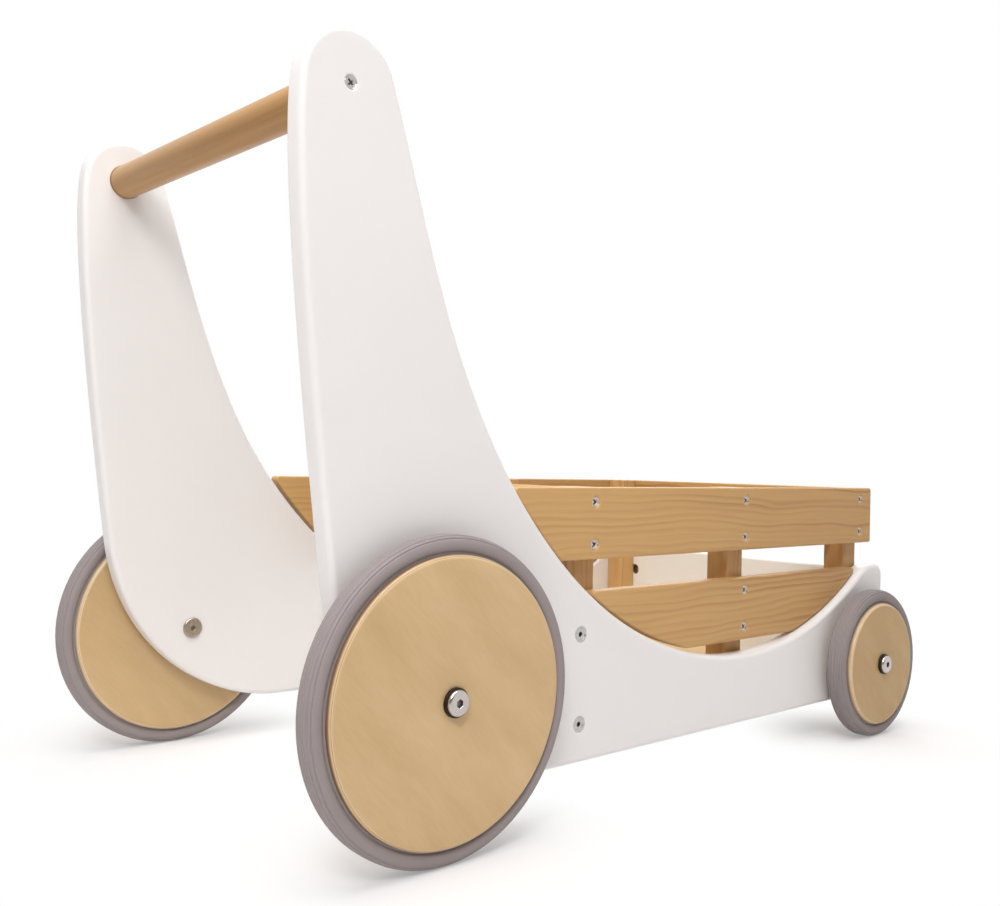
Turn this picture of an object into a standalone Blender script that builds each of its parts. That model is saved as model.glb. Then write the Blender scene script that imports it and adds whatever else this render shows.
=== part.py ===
"""A baby push walker: two arched side panels carry a handle bar, a slatted crate and four wheels.

Metres. +X is the way the walker is pushed, +Y is its left-hand side, and it stands on Z = 0.
Along X most places are given from the rear axle, because the panels are drawn around it.
"""
import math

import bmesh
import bpy
from mathutils import Matrix, Vector

# Fit between pieces that touch, and of a wheel turning on its bolt
FIT = 0.0003
RUNNING_FIT = 0.0002

# Modelling: how far a cutter reaches past a face, how far a facet may leave its arc,
# and the share of a corner's length that makes a cubic curve look like an arc
OVERCUT = 0.001
CHORD_ERROR = 0.0003
CORNER_PULL = 0.55

# Wheels
WHEELBASE = 0.4595
REAR_TYRE_RADIUS = 0.0895
FRONT_TYRE_RADIUS = 0.060
REAR_DISC_RADIUS = 0.079
FRONT_DISC_RADIUS = 0.0495
DISC_THICKNESS = 0.020
DISC_EDGE_ROUND = 0.0015
TYRE_SEAT_DEPTH = 0.002
TYRE_SEAT_HALF_WIDTH = 0.0062
TYRE_HALF_WIDTH = 0.0077
TYRE_TREAD_HALF_WIDTH = 0.0024
TYRE_WALL_ANGLES = (-45.0, -5.0, 40.0, 90.0)
REAR_WHEEL_FACETS = 32
FRONT_WHEEL_FACETS = 24

# Axle hardware
SPACER_THICKNESS = 0.0030
SPACER_RADIUS = 0.0095
AXLE_RADIUS = 0.005
AXLE_THREAD_RADIUS = 0.003
AXLE_HEAD_RADIUS = 0.00725
AXLE_HEAD_HEIGHT = 0.0020
AXLE_HEAD_CHAMFER = 0.0011
AXLE_SOCKET_ACROSS = 0.0045
AXLE_SOCKET_DEPTH = 0.0018
AXLE_TIP_CLEARANCE = 0.002
BUSH_SLEEVE_RADIUS = 0.007
BUSH_FLANGE_RADIUS = 0.00815
BUSH_FLANGE_THICKNESS = 0.0020
NUT_HEAD_RADIUS = 0.0075
NUT_HEAD_HEIGHT = 0.0022
NUT_HEAD_CHAMFER = 0.0006
NUT_SLEEVE_RADIUS = 0.0049
NUT_SLEEVE_LENGTH = 0.0135
NUT_SOCKET_ACROSS = 0.004
NUT_SOCKET_DEPTH = 0.0012
HARDWARE_FACETS = 10
HIDDEN_FACETS = 8
BEARING_FACETS = 16

# Side panels: outline in the XZ plane, X from the rear axle
# A pull is the length over which a curve keeps the direction of its end
PANEL_OUTER = 0.150
PANEL_THICKNESS = 0.015
PANEL_EDGE_ROUND = 0.0035
PANEL_BOTTOM = 0.0305
PANEL_FRONT = 0.500
LOBE_CENTRE = (-0.0590, 0.4135)
LOBE_RADIUS = 0.029
LOBE_FRONT_ANGLE = 20.0
LOBE_BACK_ANGLE = 164.0
BACK_PULL_TOP = 0.034
BACK_PULL_HEEL = 0.082
HEEL_CENTRE_X = 0.080
HEEL_RADIUS = 0.1455
HEEL_START_ANGLE = 188.1
FRONT_FOOT_RADIUS = 0.030
NOSE_TOP = 0.1385
NOSE_CORNER_RADIUS = 0.009
NOSE_RADIUS = 0.035
SCOOP_CENTRE = (0.300, 0.367)
SCOOP_RADIUS = 0.286
SCOOP_END_ANGLE = 226.6
FRONT_PULL_SCOOP = 0.120
FRONT_PULL_TOP = 0.088
CURVE_POINTS = 8

# Handle bar
HANDLE_X = -0.0595
HANDLE_Z = 0.4135
HANDLE_RADIUS = 0.0115
HANDLE_EDGE_ROUND = 0.001
HANDLE_FACETS = 20
HANDLE_SCREW_HEAD_RADIUS = 0.004
HANDLE_SCREW_RADIUS = 0.002
HANDLE_SCREW_LENGTH = 0.045

# Crate
CRATE_TOP = 0.204
SLAT_HEIGHT = 0.0465
SLAT_PITCH = 0.0670
SLAT_THICKNESS = 0.0095
SLAT_GAP = 0.0025
SLAT_EDGE_ROUND = 0.0015
SLAT_OVERHANG = 0.0075
SLAT_CORNER_ROUND = 0.003
SLAT_END_STEPS = 5
SLAT_SCREW_SPACING = 0.0274
SLAT_SCREW_HEAD_RADIUS = 0.0044
SLAT_SCREW_RADIUS = 0.0022
POST_SIZE = 0.0192
POST_EDGE_ROUND = 0.0008
POST_PITCH = 0.1659
POST_NUT_CLEARANCE = 0.0015
REAR_POST_X = 0.1397
BOARD_THICKNESS = 0.015
BOARD_TOP = 0.135
BOARD_BOTTOM = 0.0310
BOARD_EDGE_ROUND = 0.002
FLOOR_TOP = 0.045
FLOOR_THICKNESS = 0.009
BOARD_BOLT_HEIGHTS = {"upper": 0.1115, "lower": 0.0550}
BOARD_BOLT_HEAD_RADIUS = 0.00525
BOARD_BOLT_RADIUS = 0.003
BOARD_BOLT_LENGTH = 0.045
BOARD_BOLT_SOCKET_ACROSS = 0.003
BOARD_BOLT_SOCKET_DEPTH = 0.0018
DOWEL_NUT_RADIUS = 0.005
DOWEL_NUT_LENGTH = 0.0105
DOWEL_NUT_SINK = 0.0025
DOWEL_NUT_INSET = 0.020

# Places that follow from the driving dimensions
REAR_AXLE_X = -(WHEELBASE + FRONT_TYRE_RADIUS - REAR_TYRE_RADIUS) / 2
PANEL_INNER = PANEL_OUTER - PANEL_THICKNESS
INSIDE = PANEL_INNER - FIT
DISC_INNER = PANEL_OUTER + FIT + SPACER_THICKNESS + FIT
DISC_OUTER = DISC_INNER + DISC_THICKNESS
SLAT_OUTER = PANEL_INNER + SLAT_THICKNESS
POST_CENTRES = {
    "rear": REAR_POST_X,
    "middle": REAR_POST_X + POST_PITCH,
    "front": REAR_POST_X + 2 * POST_PITCH,
}
CRATE_BACK = REAR_POST_X - POST_SIZE / 2 - FIT
CRATE_FRONT = POST_CENTRES["front"] + POST_SIZE / 2 + FIT
SLAT_TOPS = {"upper": CRATE_TOP, "lower": CRATE_TOP - SLAT_PITCH}
FLOOR_BOTTOM = FLOOR_TOP - FLOOR_THICKNESS
BOARD_CENTRES = {
    "rear": CRATE_BACK - BOARD_THICKNESS / 2,
    "front": CRATE_FRONT + BOARD_THICKNESS / 2,
}
SIDES = {"left": 1.0, "right": -1.0}
AXLES = {
    "rear": (0.0, REAR_TYRE_RADIUS, REAR_DISC_RADIUS, REAR_WHEEL_FACETS),
    "front": (WHEELBASE, FRONT_TYRE_RADIUS, FRONT_DISC_RADIUS, FRONT_WHEEL_FACETS),
}

# Finishes: linear colour, roughness, metallic
FINISHES = {
    "white_lacquer": ((0.83, 0.80, 0.78), 0.45, 0.0),
    "pine": ((0.52, 0.31, 0.14), 0.55, 0.0),
    "beech": ((0.54, 0.33, 0.15), 0.50, 0.0),
    "birch_plywood": ((0.60, 0.41, 0.22), 0.50, 0.0),
    "grey_rubber": ((0.30, 0.26, 0.25), 0.75, 0.0),
    "bright_steel": ((0.62, 0.59, 0.56), 0.25, 1.0),
    "black_nylon": ((0.02, 0.018, 0.016), 0.40, 0.0),
}


def clear_scene():
    for leftover in list(bpy.data.objects):
        bpy.data.objects.remove(leftover, do_unlink=True)


def finish_material(finish):
    """Return the Principled material of one finish, made on first use."""
    found = bpy.data.materials.get(finish)
    if found:
        return found
    colour, roughness, metallic = FINISHES[finish]
    made = bpy.data.materials.new(finish)
    made.use_nodes = True
    shader = made.node_tree.nodes["Principled BSDF"]
    shader.inputs["Base Color"].default_value = (*colour, 1.0)
    shader.inputs["Roughness"].default_value = roughness
    shader.inputs["Metallic"].default_value = metallic
    return made


def add_object(name, bm, finish=None, origin=(0.0, 0.0, 0.0)):
    """Put a finished bmesh into the scene; a piece without a finish is a hidden cutter."""
    bmesh.ops.recalc_face_normals(bm, faces=bm.faces)
    if bm.calc_volume(signed=True) < 0:
        bmesh.ops.reverse_faces(bm, faces=bm.faces)
    bmesh.ops.translate(bm, verts=bm.verts, vec=-Vector(origin))
    mesh = bpy.data.meshes.new(name)
    bm.to_mesh(mesh)
    bm.free()
    piece = bpy.data.objects.new(name, mesh)
    piece.location = origin
    bpy.context.scene.collection.objects.link(piece)
    if finish is None:
        piece.hide_render = True
        piece.display_type = "WIRE"
    else:
        mesh.materials.append(finish_material(finish))
    return piece


def shade_round(piece):
    piece.data.shade_smooth()
    piece.data.set_sharp_from_angle(angle=math.radians(35))


def round_edges(piece, width, segments=2):
    """Round every sharp arris; the shallow facets of a curved outline stay as they are."""
    bevel = piece.modifiers.new("rounded_edges", "BEVEL")
    bevel.width = width
    bevel.segments = segments
    bevel.limit_method = "ANGLE"
    bevel.angle_limit = math.radians(50)
    bevel.use_clamp_overlap = False


def cut_away(piece, cutter):
    cut = piece.modifiers.new("cut", "BOOLEAN")
    cut.operation = "DIFFERENCE"
    cut.solver = "EXACT"
    cut.object = cutter


# Points in a plane

def on_circle(centre, radius, angle):
    turn = math.radians(angle)
    return (centre[0] + radius * math.cos(turn), centre[1] + radius * math.sin(turn))


def arc(centre, radius, start, end):
    """Points on a circle from one angle to another in degrees, both ends included."""
    step = 2 * math.degrees(math.acos(1 - CHORD_ERROR / radius))
    count = math.ceil(abs(end - start) / step)
    return [on_circle(centre, radius, start + (end - start) * i / count) for i in range(count + 1)]


def curve(start, start_pull, end_pull, end, count=CURVE_POINTS):
    """Inner points of a cubic curve between two points and the pulls at its two ends."""
    weights = []
    for i in range(1, count):
        t = i / count
        weights.append(((1 - t) ** 3, 3 * t * (1 - t) ** 2, 3 * t * t * (1 - t), t ** 3))
    knots = (start, start_pull, end_pull, end)
    return [tuple(sum(w * k[axis] for w, k in zip(row, knots)) for axis in (0, 1)) for row in weights]


def along(point, angle, length):
    """The point a given length away in a direction in degrees."""
    return on_circle(point, length, angle)


def offset_path(path, distance):
    """Shift an open path to its left by a distance, square to its local direction."""
    shifted = []
    for i, (x, z) in enumerate(path):
        before = path[max(i - 1, 0)]
        after = path[min(i + 1, len(path) - 1)]
        run = Vector((after[0] - before[0], after[1] - before[1])).normalized()
        shifted.append((x - run.y * distance, z + run.x * distance))
    return shifted


def crossing(path, height):
    """Where a path that only rises or only falls passes a height."""
    for (x0, z0), (x1, z1) in zip(path, path[1:]):
        if min(z0, z1) <= height <= max(z0, z1) and z0 != z1:
            return (x0 + (x1 - x0) * (height - z0) / (z1 - z0), height)
    raise ValueError("the path does not reach this height")


def round_corner(before, corner, after, radius, count=5):
    """Points that replace a corner by a curve of about the given radius."""
    here = Vector(corner)
    back = (Vector(before) - here).normalized()
    on = (Vector(after) - here).normalized()
    reach = radius / math.tan(back.angle(on) / 2)
    start = here + back * reach
    end = here + on * reach
    pulls = (start.lerp(here, CORNER_PULL), end.lerp(here, CORNER_PULL))
    return [tuple(start)] + curve(start, *pulls, end, count) + [tuple(end)]


# Solids

def plate(name, outline, low_y, high_y, finish):
    """An outline in the XZ plane, X from the rear axle, given a thickness along Y."""
    bm = bmesh.new()
    corners = [bm.verts.new((REAR_AXLE_X + x, low_y, z)) for x, z in outline]
    face = bm.faces.new(corners)
    walls = bmesh.ops.extrude_face_region(bm, geom=[face])
    moved = [item for item in walls["geom"] if isinstance(item, bmesh.types.BMVert)]
    bmesh.ops.translate(bm, verts=moved, vec=(0.0, high_y - low_y, 0.0))
    return add_object(name, bm, finish)


def block(name, x_range, y_range, z_range, finish=None):
    """A squared timber between two X places from the rear axle, two Y and two Z places."""
    bm = bmesh.new()
    bmesh.ops.create_cube(bm, size=1.0)
    spans = [high - low for low, high in (x_range, y_range, z_range)]
    middles = [(low + high) / 2 for low, high in (x_range, y_range, z_range)]
    middles[0] += REAR_AXLE_X
    bmesh.ops.scale(bm, verts=bm.verts, vec=spans)
    bmesh.ops.translate(bm, verts=bm.verts, vec=middles)
    return add_object(name, bm, finish)


def turned(name, profile, place, direction, facets, finish=None, keep_origin=False):
    """A lathe shape: (radius, distance along the axis) points spun about an axis through a place.

    A profile that starts and ends on the axis gives a pin; any other profile is closed into a ring.
    """
    axis = Vector(direction).normalized()
    frame = Matrix.Translation(Vector(place)) @ axis.to_track_quat("Z", "Y").to_matrix().to_4x4()
    bm = bmesh.new()
    points = [bm.verts.new((radius, 0.0, distance)) for radius, distance in profile]
    is_ring = profile[0][0] > 0.0
    edges = [bm.edges.new(pair) for pair in zip(points, points[1:])]
    if is_ring:
        edges.append(bm.edges.new((points[-1], points[0])))
    bmesh.ops.rotate(bm, verts=bm.verts, cent=(0, 0, 0), matrix=Matrix.Rotation(math.pi / 2, 3, "Z"))
    bmesh.ops.spin(bm, geom=points + edges, cent=(0, 0, 0), axis=(0, 0, 1), dvec=(0, 0, 0),
                   angle=2 * math.pi, steps=facets, use_duplicate=False)
    bmesh.ops.remove_doubles(bm, verts=bm.verts, dist=1e-6)
    bm.transform(frame)
    piece = add_object(name, bm, finish, place if keep_origin else (0.0, 0.0, 0.0))
    if finish:
        shade_round(piece)
    return piece


def pin(radius, top, bottom):
    """Profile of a plain cylinder between two places on its axis."""
    return [(0.0, top), (radius, top), (radius, bottom), (0.0, bottom)]


def washer(hole, radius, bottom, top):
    """Profile of a plain ring between two places on its axis."""
    return [(hole, bottom), (radius, bottom), (radius, top), (hole, top)]


def socket(piece, across, depth, place, direction):
    """Sink a hexagonal key socket into a screw head at a place, against a direction."""
    corner_radius = across / math.sqrt(3)
    profile = pin(corner_radius, OVERCUT, -depth)
    cut_away(piece, turned(f"{piece.name}_socket", profile, place, direction, 6))


def countersunk_hole(piece, tag, head_radius, hole_radius, depth, place, direction):
    """Drill a hole with a 90 degree countersink into a face at a place, against a direction."""
    flare = head_radius - hole_radius
    profile = [
        (0.0, OVERCUT),
        (head_radius + OVERCUT, OVERCUT),
        (hole_radius, -flare),
        (hole_radius, -depth),
        (0.0, -depth),
    ]
    name = f"{piece.name}_hole_{tag}"
    cut_away(piece, turned(name, profile, place, direction, HARDWARE_FACETS))


def countersunk_screw(name, head_radius, shank_radius, length, place, direction, finish):
    """A flat-headed screw whose head is flush with a face at a place, pointing against a direction."""
    sink = FIT / 2
    flare = head_radius - shank_radius
    profile = [
        (0.0, -sink),
        (head_radius, -sink),
        (shank_radius, -sink - flare),
        (shank_radius, -length + shank_radius),
        (shank_radius / 2, -length),
        (0.0, -length),
    ]
    return turned(name, profile, place, direction, HARDWARE_FACETS, finish)


# Side panels

def scoop_edge():
    """The panel's upper edge from the nose, down through the scoop and up to the lobe."""
    rise = NOSE_TOP - NOSE_RADIUS
    reach = SCOOP_RADIUS + NOSE_RADIUS
    nose_x = SCOOP_CENTRE[0] + math.sqrt(reach ** 2 - (SCOOP_CENTRE[1] - rise) ** 2)
    nose_centre = (nose_x, rise)
    slope = math.degrees(math.atan2(SCOOP_CENTRE[1] - rise, nose_x - SCOOP_CENTRE[0]))
    scoop_start = 360.0 - slope
    scoop_end = on_circle(SCOOP_CENTRE, SCOOP_RADIUS, SCOOP_END_ANGLE)
    lobe_start = on_circle(LOBE_CENTRE, LOBE_RADIUS, LOBE_FRONT_ANGLE)
    front_edge = curve(
        scoop_end,
        along(scoop_end, SCOOP_END_ANGLE - 90.0, FRONT_PULL_SCOOP),
        along(lobe_start, LOBE_FRONT_ANGLE - 90.0, FRONT_PULL_TOP),
        lobe_start,
    )
    nose = arc(nose_centre, NOSE_RADIUS, 90.0, 180.0 - slope)
    scoop = arc(SCOOP_CENTRE, SCOOP_RADIUS, scoop_start, SCOOP_END_ANGLE)
    return nose + scoop[1:] + front_edge + [lobe_start]


def panel_outline():
    """The whole outline, from the scoop over the lobe, down the back and along the bottom."""
    heel_centre = (HEEL_CENTRE_X, PANEL_BOTTOM + HEEL_RADIUS)
    heel_start = on_circle(heel_centre, HEEL_RADIUS, HEEL_START_ANGLE)
    lobe_end = on_circle(LOBE_CENTRE, LOBE_RADIUS, LOBE_BACK_ANGLE)
    back_edge = curve(
        lobe_end,
        along(lobe_end, LOBE_BACK_ANGLE + 90.0, BACK_PULL_TOP),
        along(heel_start, HEEL_START_ANGLE - 90.0, BACK_PULL_HEEL),
        heel_start,
    )
    foot_centre = (PANEL_FRONT - FRONT_FOOT_RADIUS, PANEL_BOTTOM + FRONT_FOOT_RADIUS)
    corner_centre = (PANEL_FRONT - NOSE_CORNER_RADIUS, NOSE_TOP - NOSE_CORNER_RADIUS)
    return (
        scoop_edge()
        + arc(LOBE_CENTRE, LOBE_RADIUS, LOBE_FRONT_ANGLE, LOBE_BACK_ANGLE)[1:]
        + back_edge
        + arc(heel_centre, HEEL_RADIUS, HEEL_START_ANGLE, 270.0)
        + arc(foot_centre, FRONT_FOOT_RADIUS, 270.0, 360.0)
        + arc(corner_centre, NOSE_CORNER_RADIUS, 0.0, 90.0)
    )


def side_panel(side, sign):
    faces = sorted((sign * PANEL_INNER, sign * PANEL_OUTER))
    panel = plate(f"side_panel_{side}", panel_outline(), *faces, "white_lacquer")
    round_edges(panel, PANEL_EDGE_ROUND)
    outward = (0.0, sign, 0.0)
    through = PANEL_THICKNESS + OVERCUT
    bore = pin(NUT_SLEEVE_RADIUS + FIT, OVERCUT, -through)
    for axle, (axle_x, axle_z, _, _) in AXLES.items():
        place = (REAR_AXLE_X + axle_x, sign * PANEL_OUTER, axle_z)
        cut_away(panel, turned(f"{panel.name}_{axle}_bore", bore, place, outward, HARDWARE_FACETS))
    countersunk_hole(panel, "handle", HANDLE_SCREW_HEAD_RADIUS + FIT, HANDLE_SCREW_RADIUS + FIT, through,
                     (REAR_AXLE_X + HANDLE_X, sign * PANEL_OUTER, HANDLE_Z), outward)
    for board, board_x in BOARD_CENTRES.items():
        for level, height in BOARD_BOLT_HEIGHTS.items():
            place = (REAR_AXLE_X + board_x, sign * PANEL_OUTER, height)
            countersunk_hole(panel, f"{board}_{level}", BOARD_BOLT_HEAD_RADIUS + FIT,
                             BOARD_BOLT_RADIUS + FIT, through, place, outward)


# Handle

def handle_bar():
    place = (REAR_AXLE_X + HANDLE_X, 0.0, HANDLE_Z)
    end = INSIDE
    round_start = end - HANDLE_EDGE_ROUND
    profile = [
        (0.0, end),
        (HANDLE_RADIUS - HANDLE_EDGE_ROUND, end),
        (HANDLE_RADIUS, round_start),
        (HANDLE_RADIUS, -round_start),
        (HANDLE_RADIUS - HANDLE_EDGE_ROUND, -end),
        (0.0, -end),
    ]
    bar = turned("handle_bar", profile, place, (0.0, 1.0, 0.0), HANDLE_FACETS, "beech")
    pilot_depth = HANDLE_SCREW_LENGTH - PANEL_THICKNESS + OVERCUT
    pilot = pin(HANDLE_SCREW_RADIUS + FIT, OVERCUT, -pilot_depth)
    for side, sign in SIDES.items():
        outward = (0.0, sign, 0.0)
        end_place = (place[0], sign * end, HANDLE_Z)
        cut_away(bar, turned(f"handle_pilot_{side}", pilot, end_place, outward, HIDDEN_FACETS))
        countersunk_screw(f"handle_screw_{side}", HANDLE_SCREW_HEAD_RADIUS, HANDLE_SCREW_RADIUS,
                          HANDLE_SCREW_LENGTH, (place[0], sign * PANEL_OUTER, HANDLE_Z), outward,
                          "bright_steel")


# Wheels

def disc_profile(disc_radius):
    """Plywood disc with rounded edges, a bore for the bush and a shallow seat for the tyre."""
    middle = DISC_THICKNESS / 2
    seat = disc_radius - TYRE_SEAT_DEPTH
    bore = BUSH_SLEEVE_RADIUS + FIT
    rim = disc_radius - DISC_EDGE_ROUND
    return [
        (bore, 0.0),
        (rim, 0.0),
        (disc_radius, DISC_EDGE_ROUND),
        (disc_radius, middle - TYRE_SEAT_HALF_WIDTH),
        (seat, middle - TYRE_SEAT_HALF_WIDTH),
        (seat, middle + TYRE_SEAT_HALF_WIDTH),
        (disc_radius, middle + TYRE_SEAT_HALF_WIDTH),
        (disc_radius, DISC_THICKNESS - DISC_EDGE_ROUND),
        (rim, DISC_THICKNESS),
        (bore, DISC_THICKNESS),
    ]


def tyre_profile(disc_radius, tyre_radius):
    """Rubber ring: a bead in the disc's seat, side walls on an ellipse and a narrow tread."""
    middle = DISC_THICKNESS / 2
    bead = TYRE_SEAT_HALF_WIDTH - FIT
    wall = tyre_radius - disc_radius
    bulge = TYRE_HALF_WIDTH - TYRE_TREAD_HALF_WIDTH
    half = [(disc_radius - TYRE_SEAT_DEPTH + FIT, bead), (disc_radius + FIT, bead)]
    for angle in TYRE_WALL_ANGLES:
        turn = math.radians(angle)
        radius = disc_radius + wall * (1 + math.sin(turn)) / 2
        half.append((radius, TYRE_TREAD_HALF_WIDTH + bulge * math.cos(turn)))
    far_side = [(radius, middle + offset) for radius, offset in half]
    near_side = [(radius, middle - offset) for radius, offset in reversed(half)]
    return far_side + near_side


def bush_profile():
    """Flanged bearing sleeve pressed through the disc from outside."""
    bore = AXLE_RADIUS + RUNNING_FIT
    flange = DISC_THICKNESS + FIT
    return [
        (bore, 0.0),
        (BUSH_SLEEVE_RADIUS, 0.0),
        (BUSH_SLEEVE_RADIUS, flange),
        (BUSH_FLANGE_RADIUS, flange),
        (BUSH_FLANGE_RADIUS, flange + BUSH_FLANGE_THICKNESS),
        (bore, flange + BUSH_FLANGE_THICKNESS),
    ]


def axle_bolt_profile():
    """Shoulder bolt from the panel's outer face: head outside, thread inside the panel."""
    head = DISC_OUTER - PANEL_OUTER + FIT + BUSH_FLANGE_THICKNESS + FIT
    top = head + AXLE_HEAD_HEIGHT
    thread_end = AXLE_TIP_CLEARANCE - PANEL_THICKNESS
    return [
        (0.0, top),
        (AXLE_HEAD_RADIUS - AXLE_HEAD_CHAMFER, top),
        (AXLE_HEAD_RADIUS, top - AXLE_HEAD_CHAMFER),
        (AXLE_HEAD_RADIUS, head),
        (AXLE_RADIUS, head),
        (AXLE_RADIUS, FIT),
        (AXLE_THREAD_RADIUS, FIT),
        (AXLE_THREAD_RADIUS, thread_end),
        (0.0, thread_end),
    ]


def axle_nut_profile():
    """Sleeve nut from the panel's inner face: a flat head inside, its sleeve in the panel's bore."""
    bore = AXLE_THREAD_RADIUS + FIT
    top = FIT + NUT_HEAD_HEIGHT
    return [
        (0.0, top),
        (NUT_HEAD_RADIUS - NUT_HEAD_CHAMFER, top),
        (NUT_HEAD_RADIUS, top - NUT_HEAD_CHAMFER),
        (NUT_HEAD_RADIUS, FIT),
        (NUT_SLEEVE_RADIUS, FIT),
        (NUT_SLEEVE_RADIUS, FIT - NUT_SLEEVE_LENGTH),
        (bore, FIT - NUT_SLEEVE_LENGTH),
        (bore, 0.0),
        (0.0, 0.0),
    ]


def wheel(axle, side, sign):
    axle_x, tyre_radius, disc_radius, facets = AXLES[axle]
    tag = f"{axle}_{side}"
    x = REAR_AXLE_X + axle_x
    outward = (0.0, sign, 0.0)
    at_panel = (x, sign * PANEL_OUTER, tyre_radius)
    at_disc = (x, sign * DISC_INNER, tyre_radius)
    turned(f"wheel_disc_{tag}", disc_profile(disc_radius), at_disc, outward, facets,
           "birch_plywood", keep_origin=True)
    turned(f"tyre_{tag}", tyre_profile(disc_radius, tyre_radius), at_disc, outward, facets,
           "grey_rubber", keep_origin=True)
    turned(f"hub_bush_{tag}", bush_profile(), at_disc, outward, BEARING_FACETS,
           "black_nylon", keep_origin=True)
    spacer = washer(AXLE_RADIUS + FIT, SPACER_RADIUS, FIT, FIT + SPACER_THICKNESS)
    turned(f"spacer_{tag}", spacer, at_panel, outward, HARDWARE_FACETS, "black_nylon")
    bolt = turned(f"axle_bolt_{tag}", axle_bolt_profile(), at_panel, outward, BEARING_FACETS,
                  "bright_steel")
    bolt_face = (x, sign * (PANEL_OUTER + axle_bolt_profile()[0][1]), tyre_radius)
    socket(bolt, AXLE_SOCKET_ACROSS, AXLE_SOCKET_DEPTH, bolt_face, outward)
    at_inner = (x, sign * PANEL_INNER, tyre_radius)
    inward = (0.0, -sign, 0.0)
    nut = turned(f"axle_nut_{tag}", axle_nut_profile(), at_inner, inward, HARDWARE_FACETS, "bright_steel")
    nut_face = (x, sign * (PANEL_INNER - axle_nut_profile()[0][1]), tyre_radius)
    socket(nut, NUT_SOCKET_ACROSS, NUT_SOCKET_DEPTH, nut_face, inward)


# Crate

def slat_outline(level):
    """A slat whose ends follow the scoop at a small gap; the upper one runs square at the front."""
    top = SLAT_TOPS[level]
    bottom = top - SLAT_HEIGHT
    edge = offset_path(scoop_edge(), -SLAT_GAP)
    middle = SCOOP_CENTRE[0]
    heights = [bottom + SLAT_HEIGHT * i / SLAT_END_STEPS for i in range(SLAT_END_STEPS + 1)]
    rear_end = [crossing([p for p in edge if p[0] < middle], z) for z in heights]
    if level == "upper":
        front_x = POST_CENTRES["front"] + POST_SIZE / 2 + SLAT_OVERHANG
        front_end = [(front_x, top), (front_x, bottom)]
    else:
        front_end = [crossing([p for p in edge if p[0] > middle], z) for z in reversed(heights)]
    ring = front_end + rear_end
    tips = (0, len(front_end) - 1, len(front_end), len(ring) - 1)
    outline = []
    for i, point in enumerate(ring):
        if i in tips:
            outline += round_corner(ring[i - 1], point, ring[(i + 1) % len(ring)], SLAT_CORNER_ROUND)
        else:
            outline.append(point)
    return outline


def slat_screw_places(level):
    """Screw places (X from the rear axle, Z) of one slat: two at each post that it crosses."""
    middle = SLAT_TOPS[level] - SLAT_HEIGHT / 2
    posts = POST_CENTRES if level == "upper" else {"middle": POST_CENTRES["middle"]}
    heights = (middle + SLAT_SCREW_SPACING / 2, middle - SLAT_SCREW_SPACING / 2)
    return [(x, z) for x in posts.values() for z in heights]


def side_slat(level, side, sign):
    faces = sorted((sign * PANEL_INNER, sign * SLAT_OUTER))
    slat = plate(f"{level}_slat_{side}", slat_outline(level), *faces, "pine")
    round_edges(slat, SLAT_EDGE_ROUND, 1)
    for i, (x, z) in enumerate(slat_screw_places(level)):
        place = (REAR_AXLE_X + x, sign * SLAT_OUTER, z)
        countersunk_hole(slat, i, SLAT_SCREW_HEAD_RADIUS, SLAT_SCREW_RADIUS, SLAT_THICKNESS + OVERCUT,
                         place, (0.0, sign, 0.0))


def post(row, side, sign):
    """A corner or middle post; the front ones stop just above the front axle nuts."""
    half = POST_SIZE / 2
    above_nut = FRONT_TYRE_RADIUS + NUT_HEAD_RADIUS + POST_NUT_CLEARANCE
    foot = above_nut if row == "front" else FLOOR_BOTTOM
    x = POST_CENTRES[row]
    y_range = sorted((sign * INSIDE, sign * (INSIDE - POST_SIZE)))
    timber = block(f"post_{row}_{side}", (x - half, x + half), y_range,
                   (foot, CRATE_TOP), "pine")
    round_edges(timber, POST_EDGE_ROUND, 1)


def cross_slat(end, inner_x, outer_x):
    """A pine slat across the posts, screwed on from outside the crate."""
    slat = block(f"{end}_slat", sorted((inner_x, outer_x)), (-INSIDE, INSIDE),
                 (CRATE_TOP - SLAT_HEIGHT, CRATE_TOP), "pine")
    round_edges(slat, SLAT_EDGE_ROUND, 1)
    outward = (math.copysign(1.0, outer_x - inner_x), 0.0, 0.0)
    middle = CRATE_TOP - SLAT_HEIGHT / 2
    for side, sign in SIDES.items():
        for i, step in enumerate((0.5, -0.5)):
            height = middle + step * SLAT_SCREW_SPACING
            place = (REAR_AXLE_X + outer_x, sign * (INSIDE - POST_SIZE / 2), height)
            countersunk_hole(slat, f"{side}_{i}", SLAT_SCREW_HEAD_RADIUS, SLAT_SCREW_RADIUS,
                             SLAT_THICKNESS + OVERCUT, place, outward)


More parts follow.
